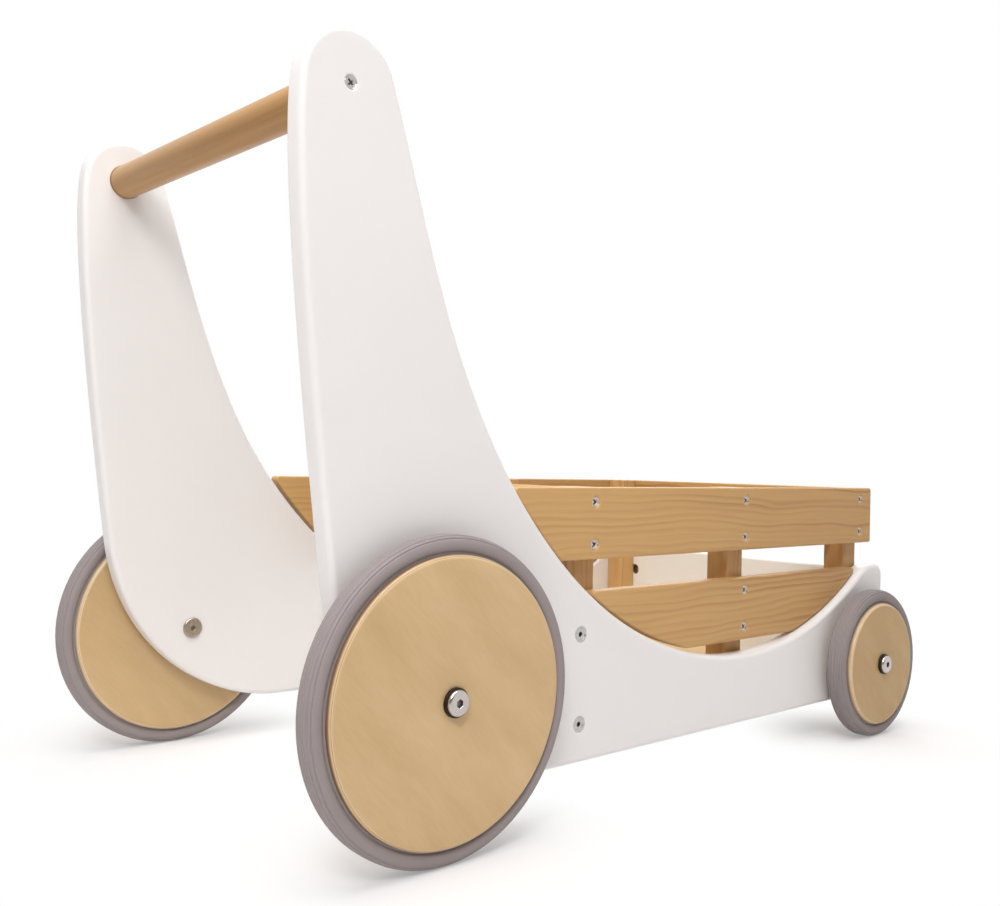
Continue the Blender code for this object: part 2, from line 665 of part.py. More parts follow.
def end_board(end, inward):
    """A lacquered board between the panels, bolted at its ends into dowel nuts."""
    x = BOARD_CENTRES[end]
    half = BOARD_THICKNESS / 2
    board = block(f"{end}_board", (x - half, x + half), (-INSIDE, INSIDE), (BOARD_BOTTOM, BOARD_TOP),
                  "white_lacquer")
    round_edges(board, BOARD_EDGE_ROUND, 1)
    bolt_depth = BOARD_BOLT_LENGTH - PANEL_THICKNESS + OVERCUT
    bolt_hole = pin(BOARD_BOLT_RADIUS + FIT, OVERCUT, -bolt_depth)
    nut_depth = DOWEL_NUT_SINK + DOWEL_NUT_LENGTH + FIT
    nut_hole = pin(DOWEL_NUT_RADIUS + FIT, OVERCUT, -nut_depth)
    for side, sign in SIDES.items():
        outward = (0.0, sign, 0.0)
        for level, height in BOARD_BOLT_HEIGHTS.items():
            tag = f"{end}_{side}_{level}"
            board_end = (REAR_AXLE_X + x, sign * INSIDE, height)
            nut_y = sign * (INSIDE - DOWEL_NUT_INSET)
            nut_face = (REAR_AXLE_X + x + inward * half, nut_y, height)
            bolt_bore = turned(f"bolt_bore_{tag}", bolt_hole, board_end, outward, HIDDEN_FACETS)
            nut_bore = turned(f"nut_bore_{tag}", nut_hole, nut_face, (inward, 0.0, 0.0), HIDDEN_FACETS)
            cut_away(board, bolt_bore)
            cut_away(board, nut_bore)
            board_bolt(tag, (REAR_AXLE_X + x, sign * PANEL_OUTER, height), outward)
            dowel_nut(tag, nut_face, inward, (REAR_AXLE_X + x, nut_y, height))


def board_bolt(tag, place, outward):
    bolt = countersunk_screw(f"board_bolt_{tag}", BOARD_BOLT_HEAD_RADIUS, BOARD_BOLT_RADIUS,
                             BOARD_BOLT_LENGTH, place, outward, "bright_steel")
    socket(bolt, BOARD_BOLT_SOCKET_ACROSS, BOARD_BOLT_SOCKET_DEPTH, place, outward)


def dowel_nut(tag, face, inward, bolt_place):
    """A steel barrel sunk across the board, with a hole for the bolt through its side."""
    profile = pin(DOWEL_NUT_RADIUS, -DOWEL_NUT_SINK, -DOWEL_NUT_SINK - DOWEL_NUT_LENGTH)
    nut = turned(f"dowel_nut_{tag}", profile, face, (inward, 0.0, 0.0), HIDDEN_FACETS, "bright_steel")
    reach = 2 * DOWEL_NUT_RADIUS
    cross = pin(BOARD_BOLT_RADIUS + FIT, reach, -reach)
    cut_away(nut, turned(f"{nut.name}_thread", cross, bolt_place, (0.0, 1.0, 0.0), HIDDEN_FACETS))


def floor_board():
    """Plywood floor between the two end boards, notched around the rear and middle posts."""
    base = block("floor_board", (CRATE_BACK + FIT, CRATE_FRONT - FIT), (-INSIDE, INSIDE),
                 (FLOOR_BOTTOM, FLOOR_TOP), "birch_plywood")
    round_edges(base, POST_EDGE_ROUND, 1)
    half = POST_SIZE / 2 + FIT
    notch_z = (FLOOR_BOTTOM - OVERCUT, FLOOR_TOP + OVERCUT)
    for row in ("rear", "middle"):
        x = POST_CENTRES[row]
        back = x - half - OVERCUT if row == "rear" else x - half
        for side, sign in SIDES.items():
            notch_y = sorted((sign * (INSIDE - POST_SIZE - FIT), sign * (INSIDE + OVERCUT)))
            cut_away(base, block(f"notch_{row}_{side}", (back, x + half), notch_y, notch_z))


def build():
    clear_scene()
    handle_bar()
    for side, sign in SIDES.items():
        side_panel(side, sign)
        for axle in AXLES:
            wheel(axle, side, sign)
        for level in SLAT_TOPS:
            side_slat(level, side, sign)
        for row in POST_CENTRES:
            post(row, side, sign)
    end_board("rear", 1.0)
    end_board("front", -1.0)
    cross_slat("rear", CRATE_BACK, CRATE_BACK - SLAT_THICKNESS)
    cross_slat("front", CRATE_FRONT, CRATE_FRONT + SLAT_THICKNESS)
    floor_board()


build()
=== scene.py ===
"""Looks of a baby push walker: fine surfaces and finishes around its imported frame.

Metres, in the frame's axes: +X is the way the walker is pushed, +Y is its left-hand side, and the
floor is Z = 0. Outlines of the side panels are drawn with X from the rear axle.
"""
import math

import bmesh
import bpy
import numpy as np
from mathutils import Matrix, Vector
from mathutils.geometry import tessellate_polygon


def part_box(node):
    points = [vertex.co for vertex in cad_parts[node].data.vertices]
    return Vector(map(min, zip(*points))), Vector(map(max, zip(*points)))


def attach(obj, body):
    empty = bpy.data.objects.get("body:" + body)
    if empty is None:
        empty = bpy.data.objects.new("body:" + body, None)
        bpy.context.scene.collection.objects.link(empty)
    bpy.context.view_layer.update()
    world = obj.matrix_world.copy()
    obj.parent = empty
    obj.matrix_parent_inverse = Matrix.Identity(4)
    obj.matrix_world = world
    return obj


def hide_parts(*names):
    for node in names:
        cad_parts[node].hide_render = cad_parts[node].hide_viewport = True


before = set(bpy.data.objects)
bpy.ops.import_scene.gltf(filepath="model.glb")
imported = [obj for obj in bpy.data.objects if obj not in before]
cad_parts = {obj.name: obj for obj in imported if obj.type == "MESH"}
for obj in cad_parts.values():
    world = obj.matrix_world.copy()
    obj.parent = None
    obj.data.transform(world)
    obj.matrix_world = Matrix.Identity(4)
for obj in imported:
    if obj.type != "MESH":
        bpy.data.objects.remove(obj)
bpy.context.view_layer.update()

# Names that come in sets, with the way outwards along Y for a side and along X for an end
SIDES = {"left": 1.0, "right": -1.0}
ENDS = {"rear": -1.0, "front": 1.0}
LEVELS = ("upper", "lower")
POST_ROWS = ("rear", "middle", "front")

# Meshes: welding distance, crease angle in degrees, attribute for the depth in a recess, margin that keeps a
# face flat beside its rim, and the signs that mirror a row of points
WELD = 1e-6
CREASE = 32.0
HOLLOW = "hollow"
FLAT_MARGIN = 0.0005
MIRROR = np.array([1.0, -1.0])

# Degrees between the points of an arc, and numbers of points
ARC_STEP = 1.5
RIM_STEPS = 7
CURVE_POINTS = 70
CORNER_POINTS = 9
HOLE_POINTS = 48
WHEEL_POINTS = 144
SMALL_POINTS = 72
WALL_POINTS = 100
TREAD_POINTS = 41
DISC_EDGE_POINTS = 15
SHOULDER_POINTS = 9
BAR_END_POINTS = 7
SOFT_EDGE_POINTS = 5
SLAT_END_POINTS = 40

# Side panel outline: a pull is how far a curve's control point lies from the curve's end
PANEL_RIM = 0.0035
PANEL_BOTTOM = 0.0305
PANEL_FRONT = 0.500
LOBE_CENTRE = (-0.0590, 0.4135)
LOBE_RADIUS = 0.029
LOBE_FRONT_ANGLE = 20.0
LOBE_BACK_ANGLE = 164.0
BACK_PULL_TOP = 0.034
BACK_PULL_HEEL = 0.082
HEEL_CENTRE_X = 0.080
HEEL_RADIUS = 0.1455
HEEL_START_ANGLE = 188.1
FRONT_FOOT_RADIUS = 0.030
NOSE_TOP = 0.1385
NOSE_CORNER_RADIUS = 0.009
NOSE_RADIUS = 0.035
SCOOP_CENTRE = (0.300, 0.367)
SCOOP_RADIUS = 0.286
SCOOP_END_ANGLE = 226.6
FRONT_PULL_SCOOP = 0.120
FRONT_PULL_TOP = 0.088

# Wheels: a tyre's side wall starts at an angle on its half ellipse
DISC_ROUND = 0.0030
SEAT_DEPTH = 0.002
SEAT_HALF_WIDTH = 0.0062
TYRE_HALF_WIDTH = 0.0077
TREAD_HALF_WIDTH = 0.0024
WALL_START = -53.0
GROOVE_SPACING = 0.0024
GROOVES_A_SIDE = 3
GROOVE_DEPTH = 0.00046
GROOVE_WIDTH = 0.00036

# Handle: how far its ends are let into the panels, the gap round them, and the flat share of an end's radius
HANDLE_LET_IN = 0.0020
HANDLE_GAP = 0.0004
HANDLE_END_ROUND = 0.001
HANDLE_END_FLAT = 0.8

# Fastenings: a socket is its width across flats and its depth, a dish its share of the head's radius and its
# depth, and an arm half the width of a cross or a slot as a share of its reach
FIT = 0.0003
SOFT_EDGE = 0.0004
SPACER_HOLE = 0.0053
BUSH_HOLE = 0.0052
BUSH_SLEEVE_RADIUS = 0.007
AXLE_RADIUS = 0.005
AXLE_HEAD_HEIGHT = 0.0020
AXLE_HEAD_ROUND = 0.0018
AXLE_SOCKET = (0.0042, 0.0018)
NUT_HEAD_HEIGHT = 0.0014
NUT_HEAD_ROUND = 0.0011
NUT_SLEEVE_RADIUS = 0.0049
NUT_STUB = 0.010
NUT_SOCKET = (0.0034, 0.0007)
HEAD_EDGE = 0.00025
BOLT_HEAD_RADIUS = 0.00525
BOLT_RADIUS = 0.003
BOLT_STUB = 0.014
BOLT_SOCKET = (0.0030, 0.0018)
BOLT_DISH = (0.66, 0.0005)
SCREW_HEAD_RADIUS = 0.0040
SCREW_RADIUS = 0.0020
SCREW_STUB = 0.0060
SCREW_DISH = (0.78, 0.0004)
FLOOR_SCREW_LENGTH = 0.035
FINE_LIP = 0.0001
CROSS_RADIUS = 0.0022
CROSS_DEPTH = 0.0012
CROSS_FLOOR = 0.55
CROSS_ARM = 0.26
DOWEL_NUT_SINK = 0.0025
SLOT_REACH = 0.80
SLOT_DEPTH = 0.0010
SLOT_FLOOR = 0.98
SLOT_ARM = 0.16
LEAST_SINE = 1e-3

# Crate: the ends of the side slats keep a gap from the scoop
SLAT_RIM = 0.0012
SLAT_GAPS = {"rear": 0.0025, "front": 0.0012}
SLAT_CORNER = 0.0022
SLAT_SCREW_SPACING = 0.0274
SLAT_HOLE_RADIUS = 0.0044
SLAT_SCREW_HEAD_RADIUS = 0.0039
SLAT_SCREW_SINK = 0.0009
POST_RIM = 0.0008
POST_CORNER = 0.0015
BOARD_RIM = 0.002
BOARD_CORNER = 0.003

# Colours, linear: the lacquers, woods, rubber and nylon drift between two of theirs
PANEL_WHITES = ((0.800, 0.777, 0.760), (0.850, 0.832, 0.816))
# Painted light: the end boards' white is creamier and brighter than the panels', for warm light bounced
# inside the crate
BOARD_WHITES_WITH_BOUNCE = ((0.845, 0.838, 0.795), (0.885, 0.880, 0.840))
PINE_EARLY = (0.615, 0.375, 0.150)
PINE_LATE = (0.350, 0.165, 0.050)
BEECH_PALE = (0.480, 0.262, 0.084)
BEECH_DEEP = (0.335, 0.162, 0.044)
BIRCH_LIGHT = (0.720, 0.520, 0.288)
BIRCH_DARK = (0.480, 0.312, 0.134)
# Partly painted highlight: pale sawn birch, lightened to stand for light on a disc's rounded rim
BIRCH_SAWN_AND_HIGHLIGHT = (0.900, 0.720, 0.490)
BIRCH_END_GRAIN = (0.370, 0.200, 0.088)
BIRCH_GLUE = (0.160, 0.070, 0.030)
RUBBER_DARK = (0.265, 0.228, 0.224)
RUBBER_DUSTY = (0.322, 0.282, 0.276)
NYLON_BLACK = (0.012, 0.008, 0.005)
NYLON_WORN = (0.026, 0.017, 0.011)
BRIGHT_STEEL = (0.62, 0.57, 0.55)
BRONZED_STEEL = (0.52, 0.43, 0.335)
ZINC_PLATE = (0.58, 0.56, 0.54)
WARM_ZINC_PLATE = (0.62, 0.53, 0.465)
# Painted shade: the colour that the depths of key recesses darken towards
RECESS_SHADE = (0.095, 0.082, 0.070)

# Least roughness of the steels
POLISHED = 0.16
PLATED = 0.20

# Late wood that a side's posts have more or less than the slats, which is painted light on the left posts
# and painted shade on the right ones, and brightness of an axle's rubber, dimmed at the front as painted
# shade
POST_PAINTED_LIGHT = {"left": -0.34, "right": 0.10}
TYRE_PAINTED_DIMMING = {"rear": 1.0, "front": 0.86}

# Plywood pieces: share of the darker birch on the faces, more on the front discs as painted shade, of the
# pale sawn colour on the edges, partly a painted highlight, and of the painted shade line where a tyre meets
# its disc
DISC_LOOKS = {
    "rear_left": (0.52, 0.85, 0.35),
    "rear_right": (0.50, 0.40, 0.80),
    "front_left": (0.75, 0.80, 0.35),
    "front_right": (0.95, 0.80, 0.35),
}
FLOOR_LOOK = (0.45, 0.55, 0.0)

# Pine: width of a growth ring, how far rings stray, part of a ring over which late wood darkens, places
# along the grain between which the wood grows darker, and the pith's place across and up for timber on each
# axis
RING_SPACING = 0.0043
RING_WANDER = 0.024
RING_RIPPLE = 0.0024
LATE_WOOD = (0.15, 0.85)
DARKENING_ALONG = (-0.15, 0.25)
PITH = {"x": (0.060, -0.060), "y": (-0.120, -0.050), "z": (-0.300, 0.030)}

# Beech: tilt in degrees of a band of painted shade along the bar, distances from its middle over which it
# fades, how far it strays, and places along the bar between which painted bounce light makes the wood paler
SHADE_BAND_TILT = 32.5
SHADE_BAND_FADE = (0.002, 0.010)
SHADE_BAND_STRAY = 0.004
BOUNCE_LIGHT_SPAN = (0.02, 0.14)

# Plywood: the face plies are sanded to a share of their thickness, and the sawn colour and the painted shade
# line by the tyre come in over a depth from the face
PLIES = 21
FACE_PLY = 0.65
SAWN_EDGE = (0.0001, 0.0006)
DISC_SHADE_BY_TYRE = (0.0014, 0.0021)

# Figure of pine and beech: repeats a metre along, across and up the grain
PINE_STRAYING = (5.5, 16.0, 16.0)
PINE_RIPPLE = (26.0, 90.0, 90.0)
PINE_FIBRE = (18.0, 700.0, 700.0)
PINE_STREAK = (4.0, 130.0, 130.0)
BEECH_STREAK = (3.0, 120.0, 120.0)
BEECH_FIBRE = (30.0, 900.0, 900.0)
BEECH_FLECK = (160.0, 1400.0, 1400.0)

# Figure of birch plywood: repeats a metre across the grain, along it and through the sheet, and on its
# edges along X, Y and Z
BIRCH_FLAME = (20.0, 6.0, 5.0)
BIRCH_FLECK = (420.0, 60.0, 60.0)
BIRCH_PORE = (1100.0, 130.0, 300.0)
BIRCH_EDGE = (300.0, 900.0, 300.0)

# Camera: angles in degrees
CAMERA_PLACE = (-0.5810, -0.6102, 0.2174)
CAMERA_AZIMUTH = 42.10
CAMERA_PITCH = 0.612
CAMERA_ROLL = 1.293
FOCAL_PIXELS = 1061.0
IMAGE_WIDTH = 1000
SENSOR_WIDTH = 36.0
CLIP_START = 0.01

# Studio: a lamp is its place, target, width and watts; reflections see a dim room behind the camera, and the
# floor is least white where the wheels stand
LAMPS = {
    "overhead": ((-0.35, -0.20, 1.50), (-0.10, 0.0, 0.15), 1.2, 17.0),
    "key": ((-1.05, -0.93, 1.25), (-0.15, 0.0, 0.20), 0.55, 12.0),
    "front_fill": ((1.30, 0.80, 1.00), (0.0, 0.0, 0.15), 1.0, 7.0),
}
AMBIENT = 0.32
AMBIENT_TINT = (1.0, 0.945, 0.935)
ROOM_BEHIND_CAMERA = 0.15
ROOM_EDGE = (-0.95, -0.35)
FLOOR_HALF_SIZE = 4.0
FLOOR_TINT = (0.865, 0.848, 0.845)
FLOOR_ROUGHNESS = 0.9
WHITE_AT_WHEELS = 0.30
WHITE_REACH = {"rear": (0.030, 0.145), "front": (0.010, 0.110)}
WHITE = (1.0, 1.0, 1.0)
BLACK = (0.0, 0.0, 0.0)


# Places that the frame gives

def middle(node):
    """Centre of a node's box."""
    low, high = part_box(node)
    return np.array((low + high) / 2)


def span(node, axis):
    """Lowest and highest place of a node along an axis."""
    low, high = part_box(node)
    return low[axis], high[axis]


def faces_outwards(node, axis):
    """A node's two faces along an axis: the outer one first, seen from the walker's middle."""
    return sorted(span(node, axis), key=abs, reverse=True)


def radius_of(node):
    """Radius of a round node on a level axis: half its height."""
    bottom, top = span(node, 2)
    return (top - bottom) / 2


REAR_AXLE_X = middle("tyre_rear_left")[0]


# Outlines: (points, 2) arrays

def on_circle(centre, radius, angle):
    """Points on a circle at angles in degrees: centre plus radius times (cosine, sine)."""
    turn = np.radians(angle)
    return np.stack([centre[0] + radius * np.cos(turn), centre[1] + radius * np.sin(turn)], axis=-1)


def arc(centre, radius, start, end):
    """Points on a circle from one angle to another in degrees."""
    count = max(math.ceil(abs(end - start) / ARC_STEP), 2)
    return on_circle(centre, radius, np.linspace(start, end, count + 1))


def bezier(start, start_pull, end_pull, end, count):
    """Cubic curve: the four points weighted by the cubic Bernstein polynomials of the part gone, 0 to 1."""
    gone = np.linspace(0.0, 1.0, count)[:, None]
    left = 1 - gone
    knots = map(np.asarray, (start, start_pull, end_pull, end))
    weights = (left ** 3, 3 * gone * left ** 2, 3 * gone ** 2 * left, gone ** 3)
    return sum(weight * knot for weight, knot in zip(weights, knots))


def joined(*paths):
    """One path from several that meet end to start."""
    return np.vstack([paths[0]] + [path[1:] for path in paths[1:]])


def unit(vector):
    """Vectors divided by their lengths."""
    return vector / np.linalg.norm(vector, axis=-1, keepdims=True)


def inward(outline):
    """Unit normals into a closed outline, square to the chord between each point's neighbours."""
    run = unit(np.roll(outline, -1, axis=0) - np.roll(outline, 1, axis=0))
    x, y = outline.T
    winding = np.sign(np.sum(x * np.roll(y, -1) - np.roll(x, -1) * y))
    return winding * np.stack([-run[:, 1], run[:, 0]], axis=1)


def trimmed(path, start, end):
    """A path without its first and last stretch, measured along it."""
    run = np.concatenate([[0.0], np.cumsum(np.linalg.norm(np.diff(path, axis=0), axis=1))])
    stop = run[-1] - end
    kept = run[(run > start + WELD) & (run < stop - WELD)]
    at = np.concatenate([[start], kept, [stop]])
    return np.stack([np.interp(at, run, path[:, 0]), np.interp(at, run, path[:, 1])], axis=1)


def rounded_loop(paths, radius):
    """Closed outline of paths that meet in corners, each corner replaced by an arc of the radius.

    The arc reaches radius / tan(half the corner's angle) along both paths, and is drawn as the cubic
    whose pulls are 4/3 tan(a quarter of its sweep) times the radius.
    """
    ahead = paths[1:] + paths[:1]
    back_runs = [unit(before[-2] - before[-1]) for before in paths]
    on_runs = [unit(after[1] - after[0]) for after in ahead]
    halves = [math.acos(float(back @ on)) / 2 for back, on in zip(back_runs, on_runs)]
    reaches = [radius / math.tan(half) for half in halves]
    cut = [trimmed(path, reaches[i - 1], reaches[i]) for i, path in enumerate(paths)]
    pieces = []
    for i, half in enumerate(halves):
        pull = 4 / 3 * math.tan((math.pi - 2 * half) / 4) * radius
        start = cut[i][-1]
        end = cut[(i + 1) % len(cut)][0]
        corner = bezier(start, start - back_runs[i] * pull, end - on_runs[i] * pull, end, CORNER_POINTS)
        pieces += [cut[i], corner[1:-1]]
    return np.vstack(pieces)


def straight_loop(corners, radius):
    """Closed outline with straight sides between corners, all rounded."""
    corners = np.array(corners)
    return rounded_loop([np.stack(pair) for pair in zip(corners, np.roll(corners, -1, axis=0))], radius)


def rectangle(first, second, radius):
    """Rounded rectangle between two pairs of places."""
    (start, end), (low, high) = first, second
    return straight_loop([(start, low), (end, low), (end, high), (start, high)], radius)


# Surfaces

class Skin:
    """Grids of points and flat fills, welded into one closed mesh."""

    def __init__(self):
        self.points = []
        self.hollows = []
        self.faces = []
        self.total = 0

    def add(self, points, hollow=0.0):
        """Keep an array of points and how deep each lies in a recess; return their numbers."""
        flat = points.reshape(-1, 3)
        numbers = self.total + np.arange(len(flat)).reshape(points.shape[:-1])
        self.points.append(flat)
        self.hollows.append(np.broadcast_to(hollow, numbers.shape).ravel())
        self.total += len(flat)
        return numbers

    def strip(self, points, hollow=0.0):
        """Quads between neighbouring rows and columns of a grid whose columns close up."""
        number = self.add(points, hollow)
        beside = np.roll(number, -1, axis=1)
        quads = np.stack([number[:-1], beside[:-1], beside[1:], number[1:]], axis=-1)
        self.faces += quads.reshape(-1, 4).tolist()

    def fill(self, loops):
        """Triangles of a flat face inside its first loop and outside the others."""
        number = self.add(np.vstack(loops))
        triangles = tessellate_polygon([[Vector(point) for point in loop] for loop in loops])
        self.faces += number[np.array(triangles)].tolist()

    def piece(self, name, finish, nodes=(), body="chassis"):
        """Weld, turn the faces outwards, and make the piece that stands for its nodes on a body."""
        mesh = bpy.data.meshes.new(name)
        mesh.from_pydata(np.vstack(self.points).tolist(), [], self.faces)
        depths = mesh.attributes.new(HOLLOW, "FLOAT", "POINT")
        depths.data.foreach_set("value", np.concatenate(self.hollows).astype(np.float32))
        welded = bmesh.new()
        welded.from_mesh(mesh)
        bmesh.ops.remove_doubles(welded, verts=welded.verts, dist=WELD)
        bmesh.ops.recalc_face_normals(welded, faces=welded.faces)
        welded.to_mesh(mesh)
        welded.free()
        mesh.shade_smooth()
        mesh.set_sharp_from_angle(angle=math.radians(CREASE))
        mesh.materials.append(finish.material)
        made = bpy.data.objects.new(name, mesh)
        bpy.context.scene.collection.objects.link(made)
        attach(made, body)
        if nodes:
            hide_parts(*nodes)


def placed(first, second, depth, axes):
    """Points from two outline coordinates and a depth, along the axes that three letters name."""
    values = np.stack(np.broadcast_arrays(first, second, depth), axis=-1)
    return values[..., [axes.index(letter) for letter in "xyz"]]


def slab(skin, outline, near, far, axes, rim, holes=()):
    """A board: its outline carried from the near face to the far one, both rims turned over.

    Round each rim the outline moves in by rim (1 - sin turn) and down by rim (1 - cos turn), with turns
    from 0 to 90 degrees. A hole is a centre with rows (radius, depth below the near face), and a last
    radius of 0 closes it. A flat ring of points is kept beside every rim and round every hole.
    """
    turn = np.linspace(0.0, math.pi / 2, RIM_STEPS)
    inset = np.concatenate([[rim + FLAT_MARGIN], rim * (1 - np.sin(turn))])
    drop = np.concatenate([[0.0], rim * (1 - np.cos(turn))])
    way = math.copysign(1.0, far - near)
    insets = np.concatenate([inset, inset[::-1]])[:, None, None]
    depths = np.concatenate([near + way * drop, far - way * drop[::-1]])[:, None]
    rings = outline + insets * inward(outline)
    wall = placed(rings[..., 0], rings[..., 1], depths, axes)
    skin.strip(wall)
    near_loops = [wall[0]]
    far_loops = [wall[-1]]
    turns = np.linspace(0.0, 360.0, HOLE_POINTS, endpoint=False)
    for centre, rows in holes:
        flat_ring = (rows[0][0] + FLAT_MARGIN, 0.0)
        radius, depth = np.array([flat_ring] + rows).T[:, :, None]
        ring = on_circle(centre, radius, turns)
        bore = placed(ring[..., 0], ring[..., 1], near + way * depth, axes)
        skin.strip(bore)
        near_loops.append(bore[0])
        if rows[-1][0] > 0:
            far_loops.append(bore[-1])
    skin.fill(near_loops)
    skin.fill(far_loops)


def drilled(radius, depth, mouth=0.0002):
    """Rows of a plain hole with a softened mouth."""
    return [(radius + mouth, 0.0), (radius, mouth), (radius, depth)]


def blind(radius, depth, mouth=0.0003):
    """Rows of a hole with a flat bottom."""
    return drilled(radius, depth, mouth) + [(0.0, depth)]


def countersunk(head, shank, depth, mouth=0.00015):
    """Rows of a hole with a 90 degree countersink and a softened mouth."""
    flare = head - shank
    return [(head + mouth, 0.0), (head - mouth, mouth), (shank, flare), (shank, depth)]


def lathe(skin, rows, place, outward, points, shape=None):
    """A turned shape: rows (radius, height along the axis) carried round the axis.

    With a shape, a third column blends the circle into the recess outline that the shape gives as a
    share of the radius for each angle. Points in the recess keep their share of its depth.
    """
    rows = np.asarray(rows, dtype=float)
    axis = np.array(outward, dtype=float)
    across = np.array([0.0, 0.0, 1.0])
    turn = np.linspace(0.0, 2 * math.pi, points, endpoint=False)
    radius = np.repeat(rows[:, 0:1], points, axis=1)
    hollow = np.zeros((len(rows), 1))
    if shape is not None:
        radius = radius * (1 + rows[:, 2:3] * (shape(turn) - 1))
        sunk = rows[rows[:, 2] > 0, 1]
        hollow = rows[:, 2:3] * (sunk.max() - rows[:, 1:2]) / np.ptp(sunk)
    ring = np.cos(turn)[:, None] * across + np.sin(turn)[:, None] * np.cross(axis, across)
    skin.strip(np.asarray(place) + radius[..., None] * ring + rows[:, 1][:, None, None] * axis, hollow)


def rounded_edge(radius, top, size, count):
    """Rows round an outer edge: a quarter circle from the top over to the radius."""
    return on_circle((radius - size, top - size), size, np.linspace(90.0, 0.0, count))


def hexagon(turn):
    """Radius of a hexagon with corners at 1: cos 30 over the cosine of the angle from the flat's middle."""
    return math.cos(math.pi / 6) / np.cos(np.mod(turn, math.pi / 3) - math.pi / 6)


def cross(turn):
    """Radius of a plus sign with arms of length 1: the arm's end or its flank, whichever is nearer."""
    lean = np.mod(turn, math.pi / 2) - math.pi / 4
    flank = CROSS_ARM / np.maximum(np.abs(np.sin(lean)), LEAST_SINE)
    return np.minimum(1.0 / np.cos(lean), flank)


def slot_cut(turn):
    """Radius of a straight slot with ends at 1: its end or its flank, whichever is nearer."""
    flank = SLOT_ARM / np.maximum(np.abs(np.sin(turn)), LEAST_SINE)
    return np.minimum(1.0, flank)


def recess(radius, top, depth, floor_share=1.0, lip=0.00018):
    """Rows of a key recess from the middle of its floor up to a softened edge at the top."""
    return [
        (0.0, top - depth, 1.0),
        (radius * floor_share, top - depth, 1.0),
        (radius, top - lip, 1.0),
        (radius + lip, top, 1.0),
    ]


def plain(rows):
    """Rows with nothing of a recess outline in them."""
    rows = np.asarray(rows)
    return np.column_stack([rows, np.zeros(len(rows))])


def board_piece(node, finish, outline, near, far, axes, rim, holes=()):
    """One board, which stands for its node."""
    skin = Skin()
    slab(skin, outline, near, far, axes, rim, holes)
    skin.piece(f"{node}_surface", finish, [node])


def turned_piece(node, finish, rows, place, outward, points, shape=None, body="chassis"):
    """One turned shape, which stands for its node on a body."""
    skin = Skin()
    lathe(skin, rows, place, outward, points, shape)
    skin.piece(f"{node}_surface", finish, [node], body)


# Shader graphs

class Value:
    """A shader socket on which Python arithmetic adds Math nodes."""

    def __init__(self, graph, socket):
        self.graph = graph
        self.socket = socket

    def math(self, operation, first, second=0.0):
        return self.graph.node("ShaderNodeMath", {"operation": operation}, {0: first, 1: second})

    def __add__(self, other):
        return self.math("ADD", self, other)

    __radd__ = __add__

    def __sub__(self, other):
        return self.math("SUBTRACT", self, other)

    def __rsub__(self, other):
        return self.math("SUBTRACT", other, self)

    def __mul__(self, other):
        return self.math("MULTIPLY", self, other)

    __rmul__ = __mul__

    def __truediv__(self, other):
        return self.math("DIVIDE", self, other)

    def __pow__(self, other):
        return self.math("POWER", self, other)

    def __abs__(self):
        return self.math("ABSOLUTE", self)

    def __mod__(self, other):
        return self.math("FLOORED_MODULO", self, other)


class Graph:
    """A node tree while its nodes are being joined up."""

    def __init__(self, tree):
        self.tree = tree

    def join(self, socket, value):
        """Link a value to a socket, or set a colour with full alpha or a number on it."""
        if isinstance(value, Value):
            self.tree.links.new(value.socket, socket)
        elif socket.type == "RGBA":
            socket.default_value = (*value, 1.0)
        else:
            socket.default_value = value

    def node(self, kind, settings=None, sockets=None, output=0):
        """Add a node, its settings first, then the values or links of its sockets; return an output."""
        made = self.tree.nodes.new(kind)
        for setting, value in (settings or {}).items():
            setattr(made, setting, value)
        for socket, value in (sockets or {}).items():
            self.join(made.inputs[socket], value)
        return Value(self, made.outputs[output])

    def place(self):
        """Object coordinates, which are the frame's."""
        return self.node("ShaderNodeTexCoord", output="Object")

    def split(self, vector):
        """X, Y and Z of a vector as three values."""
        return [self.node("ShaderNodeSeparateXYZ", {}, {0: vector}, output=axis) for axis in range(3)]

    def vector(self, x, y, z):
        return self.node("ShaderNodeCombineXYZ", {}, {0: x, 1: y, 2: z})

    def noise(self, vector, scale, detail=2.0, roughness=0.5):
        sockets = {"Vector": vector, "Scale": scale, "Detail": detail, "Roughness": roughness}
        return self.node("ShaderNodeTexNoise", {}, sockets)

    def grain(self, places, repeats, detail=2.0, roughness=0.5):
        """Noise drawn out by directions: three places, each times its repeats a metre."""
        drawn_out = self.vector(*(place * count for place, count in zip(places, repeats)))
        return self.noise(drawn_out, 1.0, detail, roughness)

    def step(self, value, low, high):
        """A smooth step from 0 at low to 1 at high."""
        settings = {"interpolation_type": "SMOOTHSTEP"}
        return self.node("ShaderNodeMapRange", settings, {0: value, 1: low, 2: high})

    def blend(self, share, first, second):
        """A colour between two colours."""
        return self.node("ShaderNodeMix", {"data_type": "RGBA"}, {0: share, 6: first, 7: second}, output=2)


class Finish(Graph):
    """A procedural material of one of the record's slots."""

    def __init__(self, name, slot, **constants):
        self.slot = slot
        self.material = bpy.data.materials.new(name)
        self.material.use_nodes = True
        super().__init__(self.material.node_tree)
        self.shader = self.tree.nodes["Principled BSDF"]
        for socket, value in constants.items():
            self.shader.inputs[socket.replace("_", " ")].default_value = value

    def wear(self, colour, roughness, height, distance, strength):
        """Join a colour, a roughness and the bump of a height to the shader."""
        bump = {"Strength": strength, "Distance": distance, "Height": height}
        self.join(self.shader.inputs["Base Color"], colour)
        self.join(self.shader.inputs["Roughness"], roughness)
        self.join(self.shader.inputs["Normal"], self.node("ShaderNodeBump", {}, bump))
        return self


# Finishes

